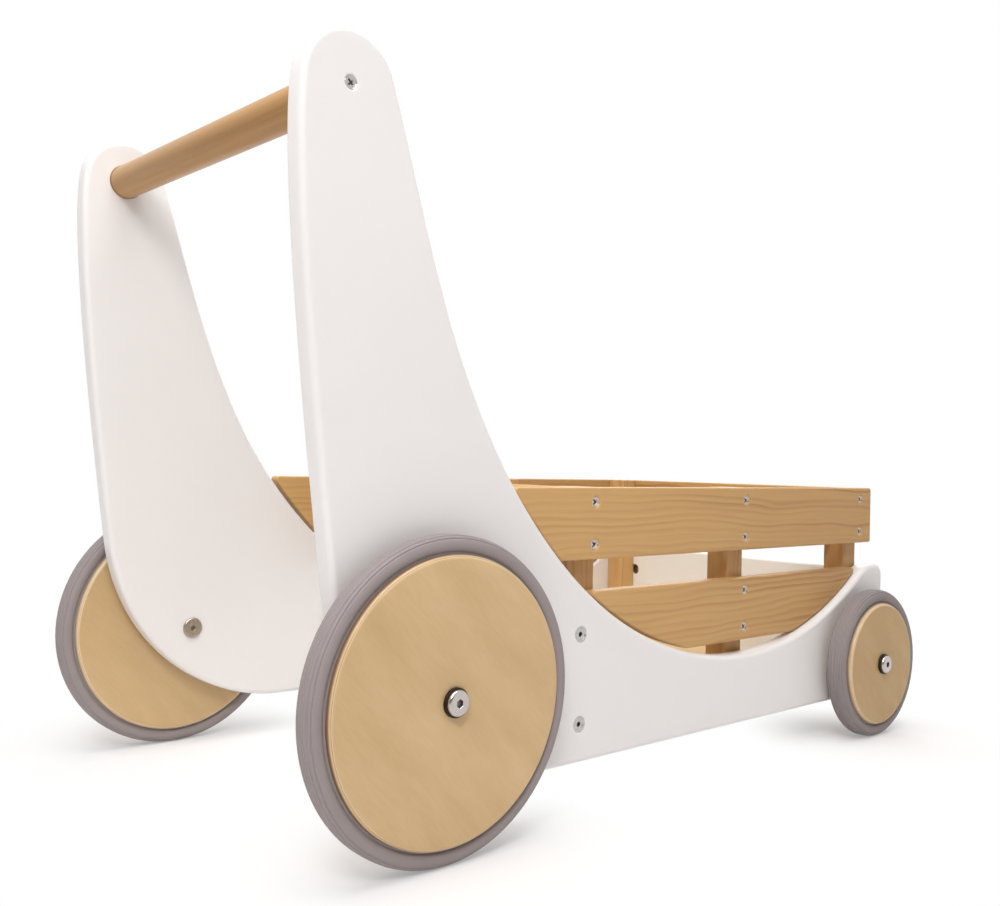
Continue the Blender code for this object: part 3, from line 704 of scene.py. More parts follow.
def white_lacquer(name, dull, clear):
    """Sprayed white lacquer: nearly even, with a faint orange peel and slow drifts of tone."""
    finish = Finish(name, "white_lacquer", Coat_Weight=0.15, Coat_Roughness=0.25)
    place = finish.place()
    drift = finish.noise(place, scale=7.0, detail=3.0)
    peel = finish.noise(place, scale=520.0)
    cloud = finish.noise(place, scale=60.0)
    colour = finish.blend(drift, dull, clear)
    roughness = 0.34 + 0.08 * cloud + 0.06 * peel
    return finish.wear(colour, roughness, peel + cloud * 0.5, distance=0.00005, strength=0.25)


def pine(name, along, tone=0.0):
    """Sawn pine: growth rings at a distance round a far pith line, darker towards each ring's end.

    The distance strays with slow noise along the grain, so that rings run as wavy lines on the faces.
    Fibres and streaks are noise drawn out along the grain. Past a place along the grain the wood grows
    darker and its rings stronger, and the tone adds late wood all over: painted light on the left posts,
    painted shade on the right ones.
    """
    finish = Finish(name, "pine", Specular_IOR_Level=0.35, Coat_Weight=0.06, Coat_Roughness=0.35)
    x, y, z = finish.split(finish.place())
    places = {"x": (x, abs(y), z), "y": (y, x, z), "z": (z, x, abs(y))}[along]
    length, across, up = places
    wander = finish.grain(places, PINE_STRAYING)
    ripple = finish.grain(places, PINE_RIPPLE)
    aside = across - PITH[along][0]
    above = up - PITH[along][1]
    from_pith = (aside * aside + above * above) ** 0.5
    ring = (from_pith + wander * RING_WANDER + ripple * RING_RIPPLE) / RING_SPACING
    phase = ring % 1.0
    band = finish.step(phase, *LATE_WOOD) * (1.0 - finish.step(phase, LATE_WOOD[1], 1.0))
    uneven = finish.noise(finish.vector(ring * 0.7, length * 3.0, 0.0), scale=1.0)
    strong = finish.step(uneven, 0.30, 0.75)
    fibre = finish.grain(places, PINE_FIBRE, detail=3.0, roughness=0.6)
    streak = finish.grain(places, PINE_STREAK, detail=3.0)
    darkened = finish.step(length, *DARKENING_ALONG)
    rings = band * strong * (0.36 + 0.28 * darkened)
    share = 0.06 + tone + darkened * 0.26 + rings + (fibre - 0.5) * 0.22 + (streak - 0.5) * 0.36
    colour = finish.blend(share, PINE_EARLY, PINE_LATE)
    roughness = 0.46 + 0.12 * fibre - 0.06 * band
    return finish.wear(colour, roughness, fibre * 0.7 + band * 0.3, distance=0.00009, strength=0.5)


def beech():
    """Turned hardwood of the handle bar: streaks and short flecks along its length, and a band of painted
    shade.

    The band is a tilted layer through the bar's axis, painted shade along the bar's side. Painted bounce
    light makes the bar paler towards its left end.
    """
    finish = Finish("beech", "beech", Specular_IOR_Level=0.25, Coat_Weight=0.25, Coat_Roughness=0.16)
    x, y, z = finish.split(finish.place())
    streak = finish.grain((y, x, z), BEECH_STREAK, detail=3.0, roughness=0.55)
    fibre = finish.grain((y, x, z), BEECH_FIBRE)
    fleck = finish.step(finish.grain((y, x, z), BEECH_FLECK, detail=1.0), 0.62, 0.74)
    # Painted light: paler towards the left end, as bounce light from the left panel
    bounce_lit = finish.step(y, *BOUNCE_LIGHT_SPAN)
    bar_x, _, bar_z = middle("handle_bar")
    tilt = math.radians(SHADE_BAND_TILT)
    from_shade_band = (z - bar_z) * math.cos(tilt) - (x - bar_x) * math.sin(tilt)
    # Painted shade: a darker band along the bar's side
    band = 1.0 - finish.step(abs(from_shade_band + (streak - 0.5) * SHADE_BAND_STRAY), *SHADE_BAND_FADE)
    figure = (streak - 0.5) * 1.5 + (fibre - 0.5) * 0.35 + fleck * 0.18
    share = 0.20 - 0.30 * bounce_lit + band * 0.50 + figure
    colour = finish.blend(share, BEECH_PALE, BEECH_DEEP)
    return finish.wear(colour, 0.36 + 0.10 * fibre, fibre - fleck * 0.5, distance=0.00005, strength=0.4)


def birch_plywood(name, depth_axis, faces, darkness_and_shade, pale_edge_and_highlight, shade_by_tyre):
    """Birch plywood: rotary-cut figure on the faces, plies and glue lines through the thickness.

    The thickness is divided into an odd number of plies, every second one turned across the grain. The
    sawn edge is paler than the faces, partly its own colour and partly a painted highlight, and a disc's
    has a line of painted shade where the tyre meets it.
    """
    finish = Finish(name, "birch_plywood", Specular_IOR_Level=0.30, Coat_Weight=0.25, Coat_Roughness=0.22)
    x, y, z = finish.split(finish.place())
    low, high = sorted(faces)
    depth = (abs(y) if depth_axis == "y" else z) - low
    across, up = (x + z, x - z) if depth_axis == "y" else (x, y)
    flame = finish.grain((across, up, depth), BIRCH_FLAME, detail=4.0, roughness=0.55)
    fleck = finish.grain((across, up, depth), BIRCH_FLECK)
    pore = finish.grain((across, up, depth), BIRCH_PORE)
    end_grain = finish.grain((x, y, z), BIRCH_EDGE, detail=3.0, roughness=0.6)
    sanded = 1.0 - FACE_PLY
    ply = sanded + depth * ((PLIES - 2 * sanded) / (high - low))
    turned_ply = 1.0 - finish.step(abs(ply % 2.0 - 1.5), 0.44, 0.56)
    glue = finish.step(abs(ply % 1.0 - 0.5), 0.39, 0.46)
    half = (high - low) / 2
    from_face = half - abs(depth - half)
    sawn = finish.step(from_face, *SAWN_EDGE)
    shaded_by_tyre = finish.step(from_face, *DISC_SHADE_BY_TYRE)
    # The darkness share is the sheet's own tone, and on the front discs painted shade as well
    tone = (flame - 0.5) * 1.1 + (fleck - 0.5) * 0.22 + darkness_and_shade
    colour = finish.blend(tone, BIRCH_LIGHT, BIRCH_DARK)
    # Partly painted highlight: the pale sawn colour on the edges
    colour = finish.blend(sawn * pale_edge_and_highlight, colour, BIRCH_SAWN_AND_HIGHLIGHT)
    colour = finish.blend(turned_ply * (0.12 + 0.28 * end_grain), colour, BIRCH_END_GRAIN)
    colour = finish.blend(glue * 0.70, colour, BIRCH_GLUE)
    # Painted shade: a dark line on a disc's rim where the tyre meets it, in the glue's colour
    colour = finish.blend(shaded_by_tyre * shade_by_tyre, colour, BIRCH_GLUE)
    roughness = 0.44 + 0.10 * pore + 0.05 * flame
    height = pore * 0.6 + fleck * 0.4 - glue * 0.6
    return finish.wear(colour, roughness, height, distance=0.00006, strength=0.45)


def grey_rubber(name, painted_dimming):
    """Moulded rubber: matt, with fine grain and a little chalky dust."""
    finish = Finish(name, "grey_rubber", Specular_IOR_Level=0.45)
    place = finish.place()
    grain = finish.noise(place, scale=1500.0)
    dust = finish.noise(place, scale=45.0, detail=4.0, roughness=0.6)
    # Painted shade: both rubber colours scaled down on the front tyres
    dark = tuple(painted_dimming * channel for channel in RUBBER_DARK)
    dusty = tuple(painted_dimming * channel for channel in RUBBER_DUSTY)
    colour = finish.blend(dust, dark, dusty)
    roughness = 0.52 + 0.14 * dust + 0.08 * grain
    return finish.wear(colour, roughness, grain, distance=0.00005, strength=0.35)


def turned_steel(name, bright, smoothest):
    """Steel off the lathe: a faint bloom, fine marks, and painted shade deep in its key recesses."""
    finish = Finish(name, "bright_steel", Metallic=1.0)
    place = finish.place()
    bloom = finish.noise(place, scale=260.0, detail=3.0)
    brush = finish.noise(place, scale=2400.0)
    depth = finish.node("ShaderNodeAttribute", {"attribute_name": HOLLOW}, output="Fac")
    dull = tuple(0.80 * channel for channel in bright)
    colour = finish.blend(bloom, bright, dull)
    # Painted shade: darker towards the bottom of each key recess
    colour = finish.blend(finish.step(depth, 0.0, 0.8) * 0.70, colour, RECESS_SHADE)
    roughness = smoothest + 0.10 * bloom + 0.05 * brush + 0.3 * depth
    return finish.wear(colour, roughness, brush, distance=0.00001, strength=0.3)


def black_nylon():
    """Moulded black nylon with a fine sheen."""
    finish = Finish("black_nylon", "black_nylon", Specular_IOR_Level=0.25)
    place = finish.place()
    grain = finish.noise(place, scale=1300.0)
    cloud = finish.noise(place, scale=150.0)
    colour = finish.blend(cloud, NYLON_BLACK, NYLON_WORN)
    return finish.wear(colour, 0.36 + 0.16 * cloud, grain, distance=0.00003, strength=0.3)


PANEL_LACQUER = white_lacquer("white_lacquer_panels", *PANEL_WHITES)
BOARD_LACQUER = white_lacquer("white_lacquer_boards", *BOARD_WHITES_WITH_BOUNCE)
SLAT_PINE = {along: pine(f"pine_slats_along_{along}", along) for along in "xy"}
# Painted light on the left posts and painted shade on the right ones, through the late-wood tone
POST_PINE = {side: pine(f"pine_posts_{side}", "z", tone) for side, tone in POST_PAINTED_LIGHT.items()}
BEECH = beech()
DISC_PLY = {tag: birch_plywood(f"birch_plywood_disc_{tag}", "y", span("wheel_disc_rear_left", 1), *look)
            for tag, look in DISC_LOOKS.items()}
FLOOR_PLY = birch_plywood("birch_plywood_floor", "z", span("floor_board", 2), *FLOOR_LOOK)
RUBBER = {axle: grey_rubber(f"grey_rubber_{axle}", painted_dimming) for axle, painted_dimming in TYRE_PAINTED_DIMMING.items()}
STEEL = turned_steel("bright_steel", BRIGHT_STEEL, POLISHED)
BRONZED = turned_steel("bronzed_steel", BRONZED_STEEL, PLATED)
ZINC = turned_steel("zinc_plated_steel", ZINC_PLATE, PLATED)
WARM_ZINC = turned_steel("warm_zinc_plated_steel", WARM_ZINC_PLATE, PLATED)
NYLON = black_nylon()


# Side panels

def scoop_edge():
    """The panel's upper edge: an arc over the nose, the scoop's arc, and a cubic up to the lobe."""
    rise = NOSE_TOP - NOSE_RADIUS
    reach = SCOOP_RADIUS + NOSE_RADIUS
    nose_x = SCOOP_CENTRE[0] + math.sqrt(reach ** 2 - (SCOOP_CENTRE[1] - rise) ** 2)
    slope = math.degrees(math.atan2(SCOOP_CENTRE[1] - rise, nose_x - SCOOP_CENTRE[0]))
    scoop_end = on_circle(SCOOP_CENTRE, SCOOP_RADIUS, SCOOP_END_ANGLE)
    lobe_start = on_circle(LOBE_CENTRE, LOBE_RADIUS, LOBE_FRONT_ANGLE)
    front_edge = bezier(
        scoop_end,
        on_circle(scoop_end, FRONT_PULL_SCOOP, SCOOP_END_ANGLE - 90.0),
        on_circle(lobe_start, FRONT_PULL_TOP, LOBE_FRONT_ANGLE - 90.0),
        lobe_start,
        CURVE_POINTS,
    )
    nose = arc((nose_x, rise), NOSE_RADIUS, 90.0, 180.0 - slope)
    scoop = arc(SCOOP_CENTRE, SCOOP_RADIUS, 360.0 - slope, SCOOP_END_ANGLE)
    return joined(nose, scoop, front_edge)


def panel_outline():
    """The scoop's edge, the lobe's arc, a cubic down the back, the heel's arc, the foot and the nose."""
    heel_centre = (HEEL_CENTRE_X, PANEL_BOTTOM + HEEL_RADIUS)
    heel_start = on_circle(heel_centre, HEEL_RADIUS, HEEL_START_ANGLE)
    lobe_end = on_circle(LOBE_CENTRE, LOBE_RADIUS, LOBE_BACK_ANGLE)
    back_edge = bezier(
        lobe_end,
        on_circle(lobe_end, BACK_PULL_TOP, LOBE_BACK_ANGLE + 90.0),
        on_circle(heel_start, BACK_PULL_HEEL, HEEL_START_ANGLE - 90.0),
        heel_start,
        CURVE_POINTS,
    )
    foot_centre = (PANEL_FRONT - FRONT_FOOT_RADIUS, PANEL_BOTTOM + FRONT_FOOT_RADIUS)
    corner_centre = (PANEL_FRONT - NOSE_CORNER_RADIUS, NOSE_TOP - NOSE_CORNER_RADIUS)
    return np.vstack([
        joined(
            scoop_edge(),
            arc(LOBE_CENTRE, LOBE_RADIUS, LOBE_FRONT_ANGLE, LOBE_BACK_ANGLE),
            back_edge,
            arc(heel_centre, HEEL_RADIUS, HEEL_START_ANGLE, 270.0),
        ),
        arc(foot_centre, FRONT_FOOT_RADIUS, 270.0, 360.0),
        arc(corner_centre, NOSE_CORNER_RADIUS, 0.0, 90.0),
    ])


def from_axle(outline):
    """An outline with X from the rear axle, in the frame's X."""
    return outline + np.array([REAR_AXLE_X, 0.0])


def side_panel(side):
    """A lacquered panel with holes for the axle nuts, board bolts and handle screw, and the bar's pocket."""
    node = f"side_panel_{side}"
    outer, inner = faces_outwards(node, 1)
    thickness = abs(outer - inner)
    holes = []
    for end in ENDS:
        x, _, z = middle(f"tyre_{end}_{side}")
        holes.append(((x, z), drilled(NUT_SLEEVE_RADIUS + FIT, thickness)))
        for level in LEVELS:
            x, _, z = middle(f"board_bolt_{end}_{side}_{level}")
            rows = countersunk(BOLT_HEAD_RADIUS + FIT, BOLT_RADIUS + FIT, thickness)
            holes.append(((x, z), rows))
    x, _, z = middle("handle_bar")
    pocket = thickness - HANDLE_LET_IN
    pocket_radius = radius_of("handle_bar") + HANDLE_GAP
    rows = countersunk(SCREW_HEAD_RADIUS + FIT, SCREW_RADIUS + FIT, pocket)
    holes.append(((x, z), rows + [(pocket_radius, pocket), (pocket_radius, thickness)]))
    outline = from_axle(panel_outline())
    board_piece(node, PANEL_LACQUER, outline, outer, inner, "xzy", PANEL_RIM, holes)


# Handle

def handle_bar():
    """A round bar with flat ends, whose edges are quarter circles."""
    x, _, z = middle("handle_bar")
    end = span("handle_bar", 1)[1] + HANDLE_LET_IN - FIT
    radius = radius_of("handle_bar")
    half = np.vstack([
        [(0.0, end), (radius * HANDLE_END_FLAT, end)],
        rounded_edge(radius, end, HANDLE_END_ROUND, BAR_END_POINTS),
    ])
    rows = np.vstack([half, half[::-1] * MIRROR])
    turned_piece("handle_bar", BEECH, rows, (x, 0.0, z), (0.0, 1.0, 0.0), WHEEL_POINTS)


def flat_head_rows(head, shank, length, sink, key, dish):
    """A countersunk screw: key recess, dished head with a fine edge, cone and shank.

    The dish is a flat, given by its share of the head's radius and its depth, with a 45 degree wall.
    """
    share, dip = dish
    flat = head * share
    top = -sink
    return np.vstack([
        key(top - dip),
        plain([
            (flat, top - dip),
            (flat + dip, top),
            (head - HEAD_EDGE, top),
            (head, top - HEAD_EDGE),
            (head - HEAD_EDGE, top - 2 * HEAD_EDGE),
            (shank, top - (head - shank)),
            (shank, -length),
            (0.0, -length),
        ]),
    ])


def cross_key(top):
    """Rows of a cross recess below a top."""
    return recess(CROSS_RADIUS, top, CROSS_DEPTH, CROSS_FLOOR, FINE_LIP)


def hex_key(across, depth):
    """Rows of a hexagonal socket of a width across flats, below any top."""
    return lambda top: recess(across / math.sqrt(3), top, depth)


def handle_screw(side, sign):
    """A cross-head screw through the panel into the end of the bar."""
    x, _, z = middle("handle_bar")
    outer = faces_outwards(f"side_panel_{side}", 1)[0]
    rows = flat_head_rows(SCREW_HEAD_RADIUS, SCREW_RADIUS, SCREW_STUB, FIT, cross_key, SCREW_DISH)
    turned_piece(f"handle_screw_{side}", ZINC, rows, (x, outer, z), (0.0, sign, 0.0), SMALL_POINTS, cross)


# Wheels

def disc_rows(disc_radius, thickness):
    """Plywood disc: bore, flat face, rounded edge, rim with the tyre's seat, and back again."""
    half = thickness / 2
    bore = BUSH_SLEEVE_RADIUS + FIT
    seat = disc_radius - SEAT_DEPTH
    edge = rounded_edge(disc_radius, half, DISC_ROUND, DISC_EDGE_POINTS)
    outer_half = np.vstack([
        [(bore, half), (edge[0][0] - FLAT_MARGIN, half)],
        edge,
        [(disc_radius, SEAT_HALF_WIDTH), (seat, SEAT_HALF_WIDTH)],
    ])
    return np.vstack([outer_half, outer_half[::-1] * MIRROR, outer_half[:1]])


def tyre_rows(disc_radius, tyre_radius):
    """Rubber ring: side walls on half ellipses, a narrow flat tread, and grooves round tread and shoulders.

    Grooves lie at even steps along the profile from the middle of the tread. Each moves the profile in,
    square to itself, by its depth times exp(-(distance along the profile / width) squared).
    """
    wall = tyre_radius - disc_radius
    bulge = TYRE_HALF_WIDTH - TREAD_HALF_WIDTH
    turn = np.radians(np.linspace(WALL_START, 90.0, WALL_POINTS))
    side = np.column_stack([
        disc_radius + wall * (1 + np.sin(turn)) / 2,
        TREAD_HALF_WIDTH + bulge * np.cos(turn),
    ])
    offset = np.linspace(TREAD_HALF_WIDTH, -TREAD_HALF_WIDTH, TREAD_POINTS)
    tread = np.column_stack([np.full(TREAD_POINTS, tyre_radius), offset])
    outside = np.vstack([side, tread[1:-1], side[::-1] * MIRROR])
    run = np.gradient(outside, axis=0)
    along = np.concatenate([[0.0], np.cumsum(np.linalg.norm(np.diff(outside, axis=0), axis=1))])
    grooves = np.arange(-GROOVES_A_SIDE, GROOVES_A_SIDE + 1) * GROOVE_SPACING
    distance = (along - along[-1] / 2)[:, None] - grooves
    depth = GROOVE_DEPTH * np.exp(-(distance / GROOVE_WIDTH) ** 2).sum(axis=1, keepdims=True)
    outside = outside - depth * unit(np.column_stack([-run[:, 1], run[:, 0]]))
    bead = SEAT_HALF_WIDTH - FIT
    seat = np.array([(disc_radius - SEAT_DEPTH + FIT, bead), (disc_radius + FIT, bead)])
    return np.vstack([seat, outside, seat[::-1] * MIRROR, seat[:1]])


def spacer_rows(radius, height):
    """A washer with softened outer edges, heights from its inner face."""
    upper = rounded_edge(radius, height, SOFT_EDGE, SOFT_EDGE_POINTS)
    lower = upper[::-1] * MIRROR + (0.0, height)
    return np.vstack([[(SPACER_HOLE, height)], upper, lower, [(SPACER_HOLE, 0.0), (SPACER_HOLE, height)]])


def bush_rows(thickness, flange_radius, top):
    """Flanged sleeve through the disc, heights from the disc's inner face."""
    under = thickness + FIT
    return np.vstack([
        [(BUSH_HOLE, top)],
        rounded_edge(flange_radius, top, SOFT_EDGE, SOFT_EDGE_POINTS),
        [(flange_radius, under), (BUSH_SLEEVE_RADIUS, under), (BUSH_SLEEVE_RADIUS, 0.0)],
        [(BUSH_HOLE, 0.0), (BUSH_HOLE, top)],
    ])


def button_rows(head_radius, head_height, soft, key, shank, length):
    """A round head: key recess, flat face, rounded shoulder, underside and shank, heights from its seat."""
    shoulder = rounded_edge(head_radius, head_height, soft, SHOULDER_POINTS)
    body = np.vstack([
        [(shoulder[0][0] - FLAT_MARGIN, head_height)],
        shoulder,
        [(head_radius, 0.0), (shank, 0.0), (shank, -length), (0.0, -length)],
    ])
    return np.vstack([key(head_height), plain(body)])


def wheel(axle, side, sign):
    """Disc, tyre and bush, turned about the axle on a body of their own."""
    tag = f"{axle}_{side}"
    body = f"wheel_{tag}"
    disc = f"wheel_disc_{tag}"
    tyre = f"tyre_{tag}"
    bush = f"hub_bush_{tag}"
    outward = (0.0, sign, 0.0)
    x, _, z = centre = middle(disc)
    outer, inner = faces_outwards(disc, 1)
    thickness = abs(outer - inner)
    rows = disc_rows(radius_of(disc), thickness)
    turned_piece(disc, DISC_PLY[tag], rows, centre, outward, WHEEL_POINTS, body=body)
    rows = tyre_rows(radius_of(disc), radius_of(tyre))
    turned_piece(tyre, RUBBER[axle], rows, centre, outward, WHEEL_POINTS, body=body)
    flange_top = abs(faces_outwards(bush, 1)[0] - inner)
    rows = bush_rows(thickness, radius_of(bush), flange_top)
    turned_piece(bush, NYLON, rows, (x, inner, z), outward, SMALL_POINTS, body=body)


def axle_parts(axle, side, sign):
    """The parts that stand still: spacer, bolt through the wheel, and nut on the panel's inner face."""
    tag = f"{axle}_{side}"
    spacer = f"spacer_{tag}"
    bolt = f"axle_bolt_{tag}"
    nut = f"axle_nut_{tag}"
    outward = (0.0, sign, 0.0)
    x, _, z = middle(f"tyre_{tag}")
    panel_outer, panel_inner = faces_outwards(f"side_panel_{side}", 1)
    far, near = faces_outwards(spacer, 1)
    rows = spacer_rows(radius_of(spacer), abs(far - near))
    turned_piece(spacer, NYLON, rows, (x, near, z), outward, SMALL_POINTS)
    seat = faces_outwards(bolt, 1)[0] - sign * AXLE_HEAD_HEIGHT
    length = abs(seat - panel_outer) - FIT
    key = hex_key(*AXLE_SOCKET)
    rows = button_rows(radius_of(bolt), AXLE_HEAD_HEIGHT, AXLE_HEAD_ROUND, key, AXLE_RADIUS, length)
    turned_piece(bolt, STEEL, rows, (x, seat, z), outward, SMALL_POINTS, hexagon)
    seat = panel_inner - sign * FIT
    key = hex_key(*NUT_SOCKET)
    rows = button_rows(radius_of(nut), NUT_HEAD_HEIGHT, NUT_HEAD_ROUND, key, NUT_SLEEVE_RADIUS, NUT_STUB)
    turned_piece(nut, BRONZED, rows, (x, seat, z), (0.0, -sign, 0.0), SMALL_POINTS, hexagon)


# Crate

def end_along(edge, heights):
    """Points of an edge that rises or falls all the way, at given heights."""
    order = np.argsort(edge[:, 1])
    return np.column_stack([np.interp(heights, edge[order, 1], edge[order, 0]), heights])


def slat_outline(node):
    """A slat whose ends keep small gaps from the scoop; the upper one is square at the front."""
    bottom, top = span(node, 2)
    edge = scoop_edge()
    run = unit(np.gradient(edge, axis=0))
    heights = np.linspace(bottom, top, SLAT_END_POINTS)
    at_rear = edge[:, 0] < SCOOP_CENTRE[0]
    gap = np.where(at_rear, SLAT_GAPS["rear"], SLAT_GAPS["front"])[:, None]
    edge = from_axle(edge + gap * np.column_stack([run[:, 1], -run[:, 0]]))
    rear = end_along(edge[at_rear], heights)
    if node.startswith("upper"):
        front_x = span(node, 0)[1]
        front = np.array([(front_x, top), (front_x, bottom)])
    else:
        front = end_along(edge[~at_rear], heights)[::-1]
    top_side = np.stack([rear[-1], front[0]])
    bottom_side = np.stack([front[-1], rear[0]])
    return rounded_loop([rear, top_side, front, bottom_side], SLAT_CORNER)


def wood_screws(name, finish, length, places):
    """Cross-head screws sunk a little below a face: each a place on it and the way out."""
    head = SLAT_SCREW_HEAD_RADIUS
    rows = flat_head_rows(head, SCREW_RADIUS, length, SLAT_SCREW_SINK, cross_key, SCREW_DISH)
    skin = Skin()
    for place, outward in places:
        lathe(skin, rows, place, outward, SMALL_POINTS, cross)
    skin.piece(name, finish)


def screwed_slat(node, finish, outline, faces, axes, posts_at, outward):
    """A slat with two countersunk screws on its outer face at each place of a post along it."""
    outer, inner = faces
    rise = SLAT_SCREW_SPACING / 2
    centre = middle(node)[2]
    spots = [(at, height) for at in posts_at for height in (centre + rise, centre - rise)]
    rows = countersunk(SLAT_HOLE_RADIUS, SCREW_RADIUS + FIT, abs(outer - inner))
    board_piece(node, finish, outline, outer, inner, axes, SLAT_RIM, [(spot, rows) for spot in spots])
    places = [(placed(*spot, outer, axes), outward) for spot in spots]
    wood_screws(f"{node}_screws", WARM_ZINC, SCREW_STUB, places)


def side_slat(level, side, sign):
    """A slat in the scoop of a panel, screwed from outside to the posts behind it."""
    node = f"{level}_slat_{side}"
    rows = POST_ROWS if level == "upper" else ("middle",)
    posts_at = [middle(f"post_{row}_{side}")[0] for row in rows]
    faces = faces_outwards(node, 1)
    screwed_slat(node, SLAT_PINE["x"], slat_outline(node), faces, "xzy", posts_at, (0.0, sign, 0.0))


def cross_slat(end, sign):
    """A slat across the crate's end, screwed to the two corner posts from outside."""
    node = f"{end}_slat"
    outline = rectangle(span(node, 1), span(node, 2), SLAT_CORNER)
    posts_at = [middle(f"post_{end}_{side}")[1] for side in SIDES]
    screwed_slat(node, SLAT_PINE["y"], outline, faces_outwards(node, 0), "yzx", posts_at, (sign, 0.0, 0.0))


def post(row, side):
    """An upright post with rounded corners."""
    node = f"post_{row}_{side}"
    outline = rectangle(span(node, 0), span(node, 1), POST_CORNER)
    board_piece(node, POST_PINE[side], outline, *span(node, 2), "xyz", POST_RIM)


def end_board(end, sign):
    """A lacquered board with holes for its dowel nuts in the face towards the crate."""
    node = f"{end}_board"
    outer, inner = faces_outwards(node, 0)
    holes = []
    for side in SIDES:
        for level in LEVELS:
            nut = f"dowel_nut_{end}_{side}_{level}"
            _, y, z = middle(nut)
            back, front = span(nut, 0)
            length = front - back
            holes.append(((y, z), blind(radius_of(nut) + FIT, length + DOWEL_NUT_SINK + FIT)))
            dowel_nut(nut, length, (inner, y, z), (-sign, 0.0, 0.0))
    outline = rectangle(span(node, 1), span(node, 2), BOARD_CORNER)
    board_piece(node, BOARD_LACQUER, outline, inner, outer, "yzx", BOARD_RIM, holes)


def dowel_nut(node, length, face, outward):
    """A steel barrel with a screwdriver slot, sunk below the board's face."""
    radius = radius_of(node)
    top = -DOWEL_NUT_SINK
    soft = SOFT_EDGE
    rows = np.vstack([
        recess(radius * SLOT_REACH, top, SLOT_DEPTH, SLOT_FLOOR, FINE_LIP),
        plain([(radius - soft, top), (radius, top - soft), (radius, top - length), (0.0, top - length)]),
    ])
    turned_piece(node, ZINC, rows, face, outward, SMALL_POINTS, slot_cut)


def board_bolt(end, side, sign, level):
    """A countersunk bolt with a hexagonal socket, through the panel into the end of a board."""
    node = f"board_bolt_{end}_{side}_{level}"
    x, _, z = middle(node)
    outer = faces_outwards(f"side_panel_{side}", 1)[0]
    key = hex_key(*BOLT_SOCKET)
    rows = flat_head_rows(BOLT_HEAD_RADIUS, BOLT_RADIUS, BOLT_STUB, FIT / 2, key, BOLT_DISH)
    turned_piece(node, ZINC, rows, (x, outer, z), (0.0, sign, 0.0), SMALL_POINTS, hexagon)


def floor_board():
    """Plywood floor notched round the rear and middle posts."""
    (back, front), (_, left), (low, high) = [span("floor_board", axis) for axis in range(3)]
    inside = span("post_middle_left", 1)[0] - FIT
    middle_back, middle_front = span("post_middle_left", 0)
    rear_front = span("post_rear_left", 0)[1] + FIT
    half = np.array([
        (front, left),
        (middle_front + FIT, left),
        (middle_front + FIT, inside),
        (middle_back - FIT, inside),
        (middle_back - FIT, left),
        (rear_front, left),
        (rear_front, inside),
        (back, inside),
    ])
    outline = straight_loop(np.vstack([half, half[::-1] * MIRROR]), POST_CORNER)
    board_piece("floor_board", FLOOR_PLY, outline, high, low, "xyz", POST_RIM)


def floor_screws():
    """Screws through the rear and middle posts into the floor's edges, hidden behind the side panels."""
    height = middle("floor_board")[2]
    places = []
    for side, sign in SIDES.items():
        for row in ("rear", "middle"):
            node = f"post_{row}_{side}"
            face = faces_outwards(node, 1)[0]
            places.append(((middle(node)[0], face, height), (0.0, sign, 0.0)))
    wood_screws("floor_screws", ZINC, FLOOR_SCREW_LENGTH, places)


def walker():
    """All pieces: those of each side, then those between the sides."""
    handle_bar()
    for side, sign in SIDES.items():
        side_panel(side)
        handle_screw(side, sign)
        for end in ENDS:
            wheel(end, side, sign)
            axle_parts(end, side, sign)
            for level in LEVELS:
                board_bolt(end, side, sign, level)
        for level in LEVELS:
            side_slat(level, side, sign)
        for row in POST_ROWS:
            post(row, side)
    for end, sign in ENDS.items():
        end_board(end, sign)
        cross_slat(end, sign)
    floor_board()
    floor_screws()


# Studio

def studio_camera():
    """The photograph's camera: turned from +Y towards +X, pitched up a little and rolled."""
    data = bpy.data.cameras.new("camera")
    data.sensor_fit = "HORIZONTAL"
    data.sensor_width = SENSOR_WIDTH
    data.lens = FOCAL_PIXELS / IMAGE_WIDTH * SENSOR_WIDTH
    data.clip_start = CLIP_START
    camera = bpy.data.objects.new("camera", data)
    turn = Matrix.Rotation(-math.radians(CAMERA_AZIMUTH), 4, "Z")
    pitch = Matrix.Rotation(math.radians(90.0 + CAMERA_PITCH), 4, "X")
    roll = Matrix.Rotation(math.radians(CAMERA_ROLL), 4, "Z")
    camera.matrix_world = Matrix.Translation(CAMERA_PLACE) @ turn @ pitch @ roll
    bpy.context.scene.collection.objects.link(camera)
    bpy.context.scene.camera = camera


def area_lamp(name, place, target, size, power):
    """A round lamp that faces its target."""
    data = bpy.data.lights.new(name, "AREA")
    data.shape = "DISK"
    data.size = size
    data.energy = power
    lamp = bpy.data.objects.new(name, data)
    lamp.location = place
    lamp.rotation_euler = (Vector(target) - Vector(place)).to_track_quat("-Z", "Y").to_euler()
    bpy.context.scene.collection.objects.link(lamp)


def seen_directly(graph):
    """1 on rays from the camera, from a gloss and through glass, 0 on rays that gather soft light."""
    kinds = ("Camera", "Glossy", "Transmission")
    camera, glossy, through = [graph.node("ShaderNodeLightPath", output=f"Is {kind} Ray") for kind in kinds]
    return graph.node("ShaderNodeMath", {"operation": "MINIMUM"}, {0: camera + glossy + through, 1: 1.0})


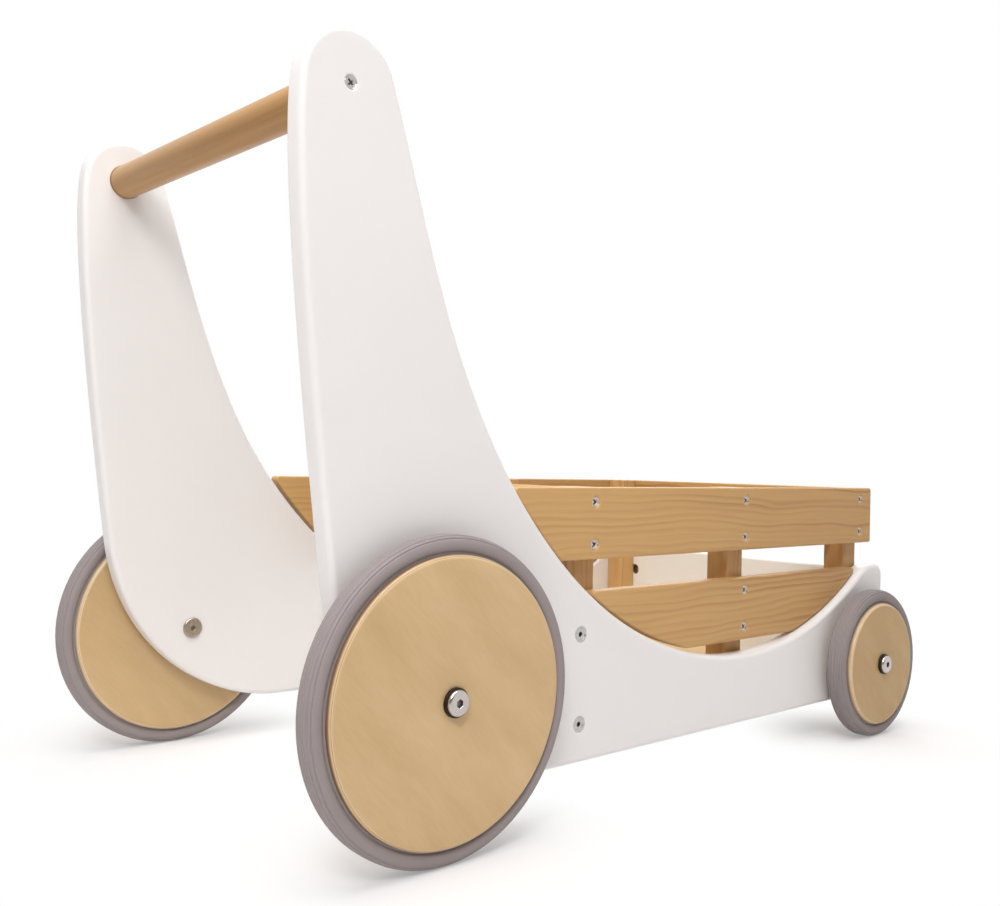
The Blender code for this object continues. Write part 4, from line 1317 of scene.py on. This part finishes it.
def white_world():
    """White where it is seen, dim where reflections look back into the room, and soft light."""
    world = bpy.data.worlds.new("white_studio")
    world.use_nodes = True
    bpy.context.scene.world = world
    graph = Graph(world.node_tree)
    x, y, _ = graph.split(graph.node("ShaderNodeTexCoord", output="Generated"))
    azimuth = math.radians(CAMERA_AZIMUTH)
    ahead = x * math.sin(azimuth) + y * math.cos(azimuth)
    room = ROOM_BEHIND_CAMERA + graph.step(ahead, *ROOM_EDGE) * (1.0 - ROOM_BEHIND_CAMERA)
    glossy = graph.node("ShaderNodeLightPath", output="Is Glossy Ray")
    seen = seen_directly(graph)
    tint = graph.blend(seen, AMBIENT_TINT, WHITE)
    white = 1.0 + glossy * (room - 1.0)
    background = world.node_tree.nodes["Background"]
    graph.join(background.inputs["Color"], tint)
    graph.join(background.inputs["Strength"], AMBIENT + seen * (white - AMBIENT))


def studio_floor():
    """A pale floor that takes the shadows of the wheels and runs out into white.

    Where it is seen, a share of its light is plain white: least where a wheel stands, and all of it
    at a distance from the wheels.
    """
    mesh = bpy.data.meshes.new("studio_floor")
    half = FLOOR_HALF_SIZE
    corners = [(-half, -half, 0.0), (half, -half, 0.0), (half, half, 0.0), (-half, half, 0.0)]
    mesh.from_pydata(corners, [], [(0, 1, 2, 3)])
    floor = bpy.data.objects.new("studio_floor", mesh)
    bpy.context.scene.collection.objects.link(floor)
    material = bpy.data.materials.new("studio_floor")
    material.use_nodes = True
    graph = Graph(material.node_tree)
    shader = material.node_tree.nodes["Principled BSDF"]
    shader.inputs["Roughness"].default_value = FLOOR_ROUGHNESS
    shader.inputs["Specular IOR Level"].default_value = 0.0
    shader.inputs["Emission Strength"].default_value = 1.0
    x, y, _ = graph.split(graph.place())
    away = 1.0
    for axle, reach in WHITE_REACH.items():
        wheel_x, wheel_y, _ = middle(f"tyre_{axle}_left")
        from_x = x - wheel_x
        from_y = abs(y) - wheel_y
        distance = (from_x * from_x + from_y * from_y) ** 0.5
        away = graph.step(distance, *reach) * away
    white = (WHITE_AT_WHEELS + away * (1.0 - WHITE_AT_WHEELS)) * seen_directly(graph)
    graph.join(shader.inputs["Base Color"], graph.blend(white, FLOOR_TINT, BLACK))
    graph.join(shader.inputs["Emission Color"], white)
    mesh.materials.append(material)


def studio():
    """Camera, lamps, surroundings and floor."""
    studio_camera()
    for name, settings in LAMPS.items():
        area_lamp(name, *settings)
    white_world()
    studio_floor()
    bpy.context.scene.view_settings.view_transform = "Standard"


walker()
studio()
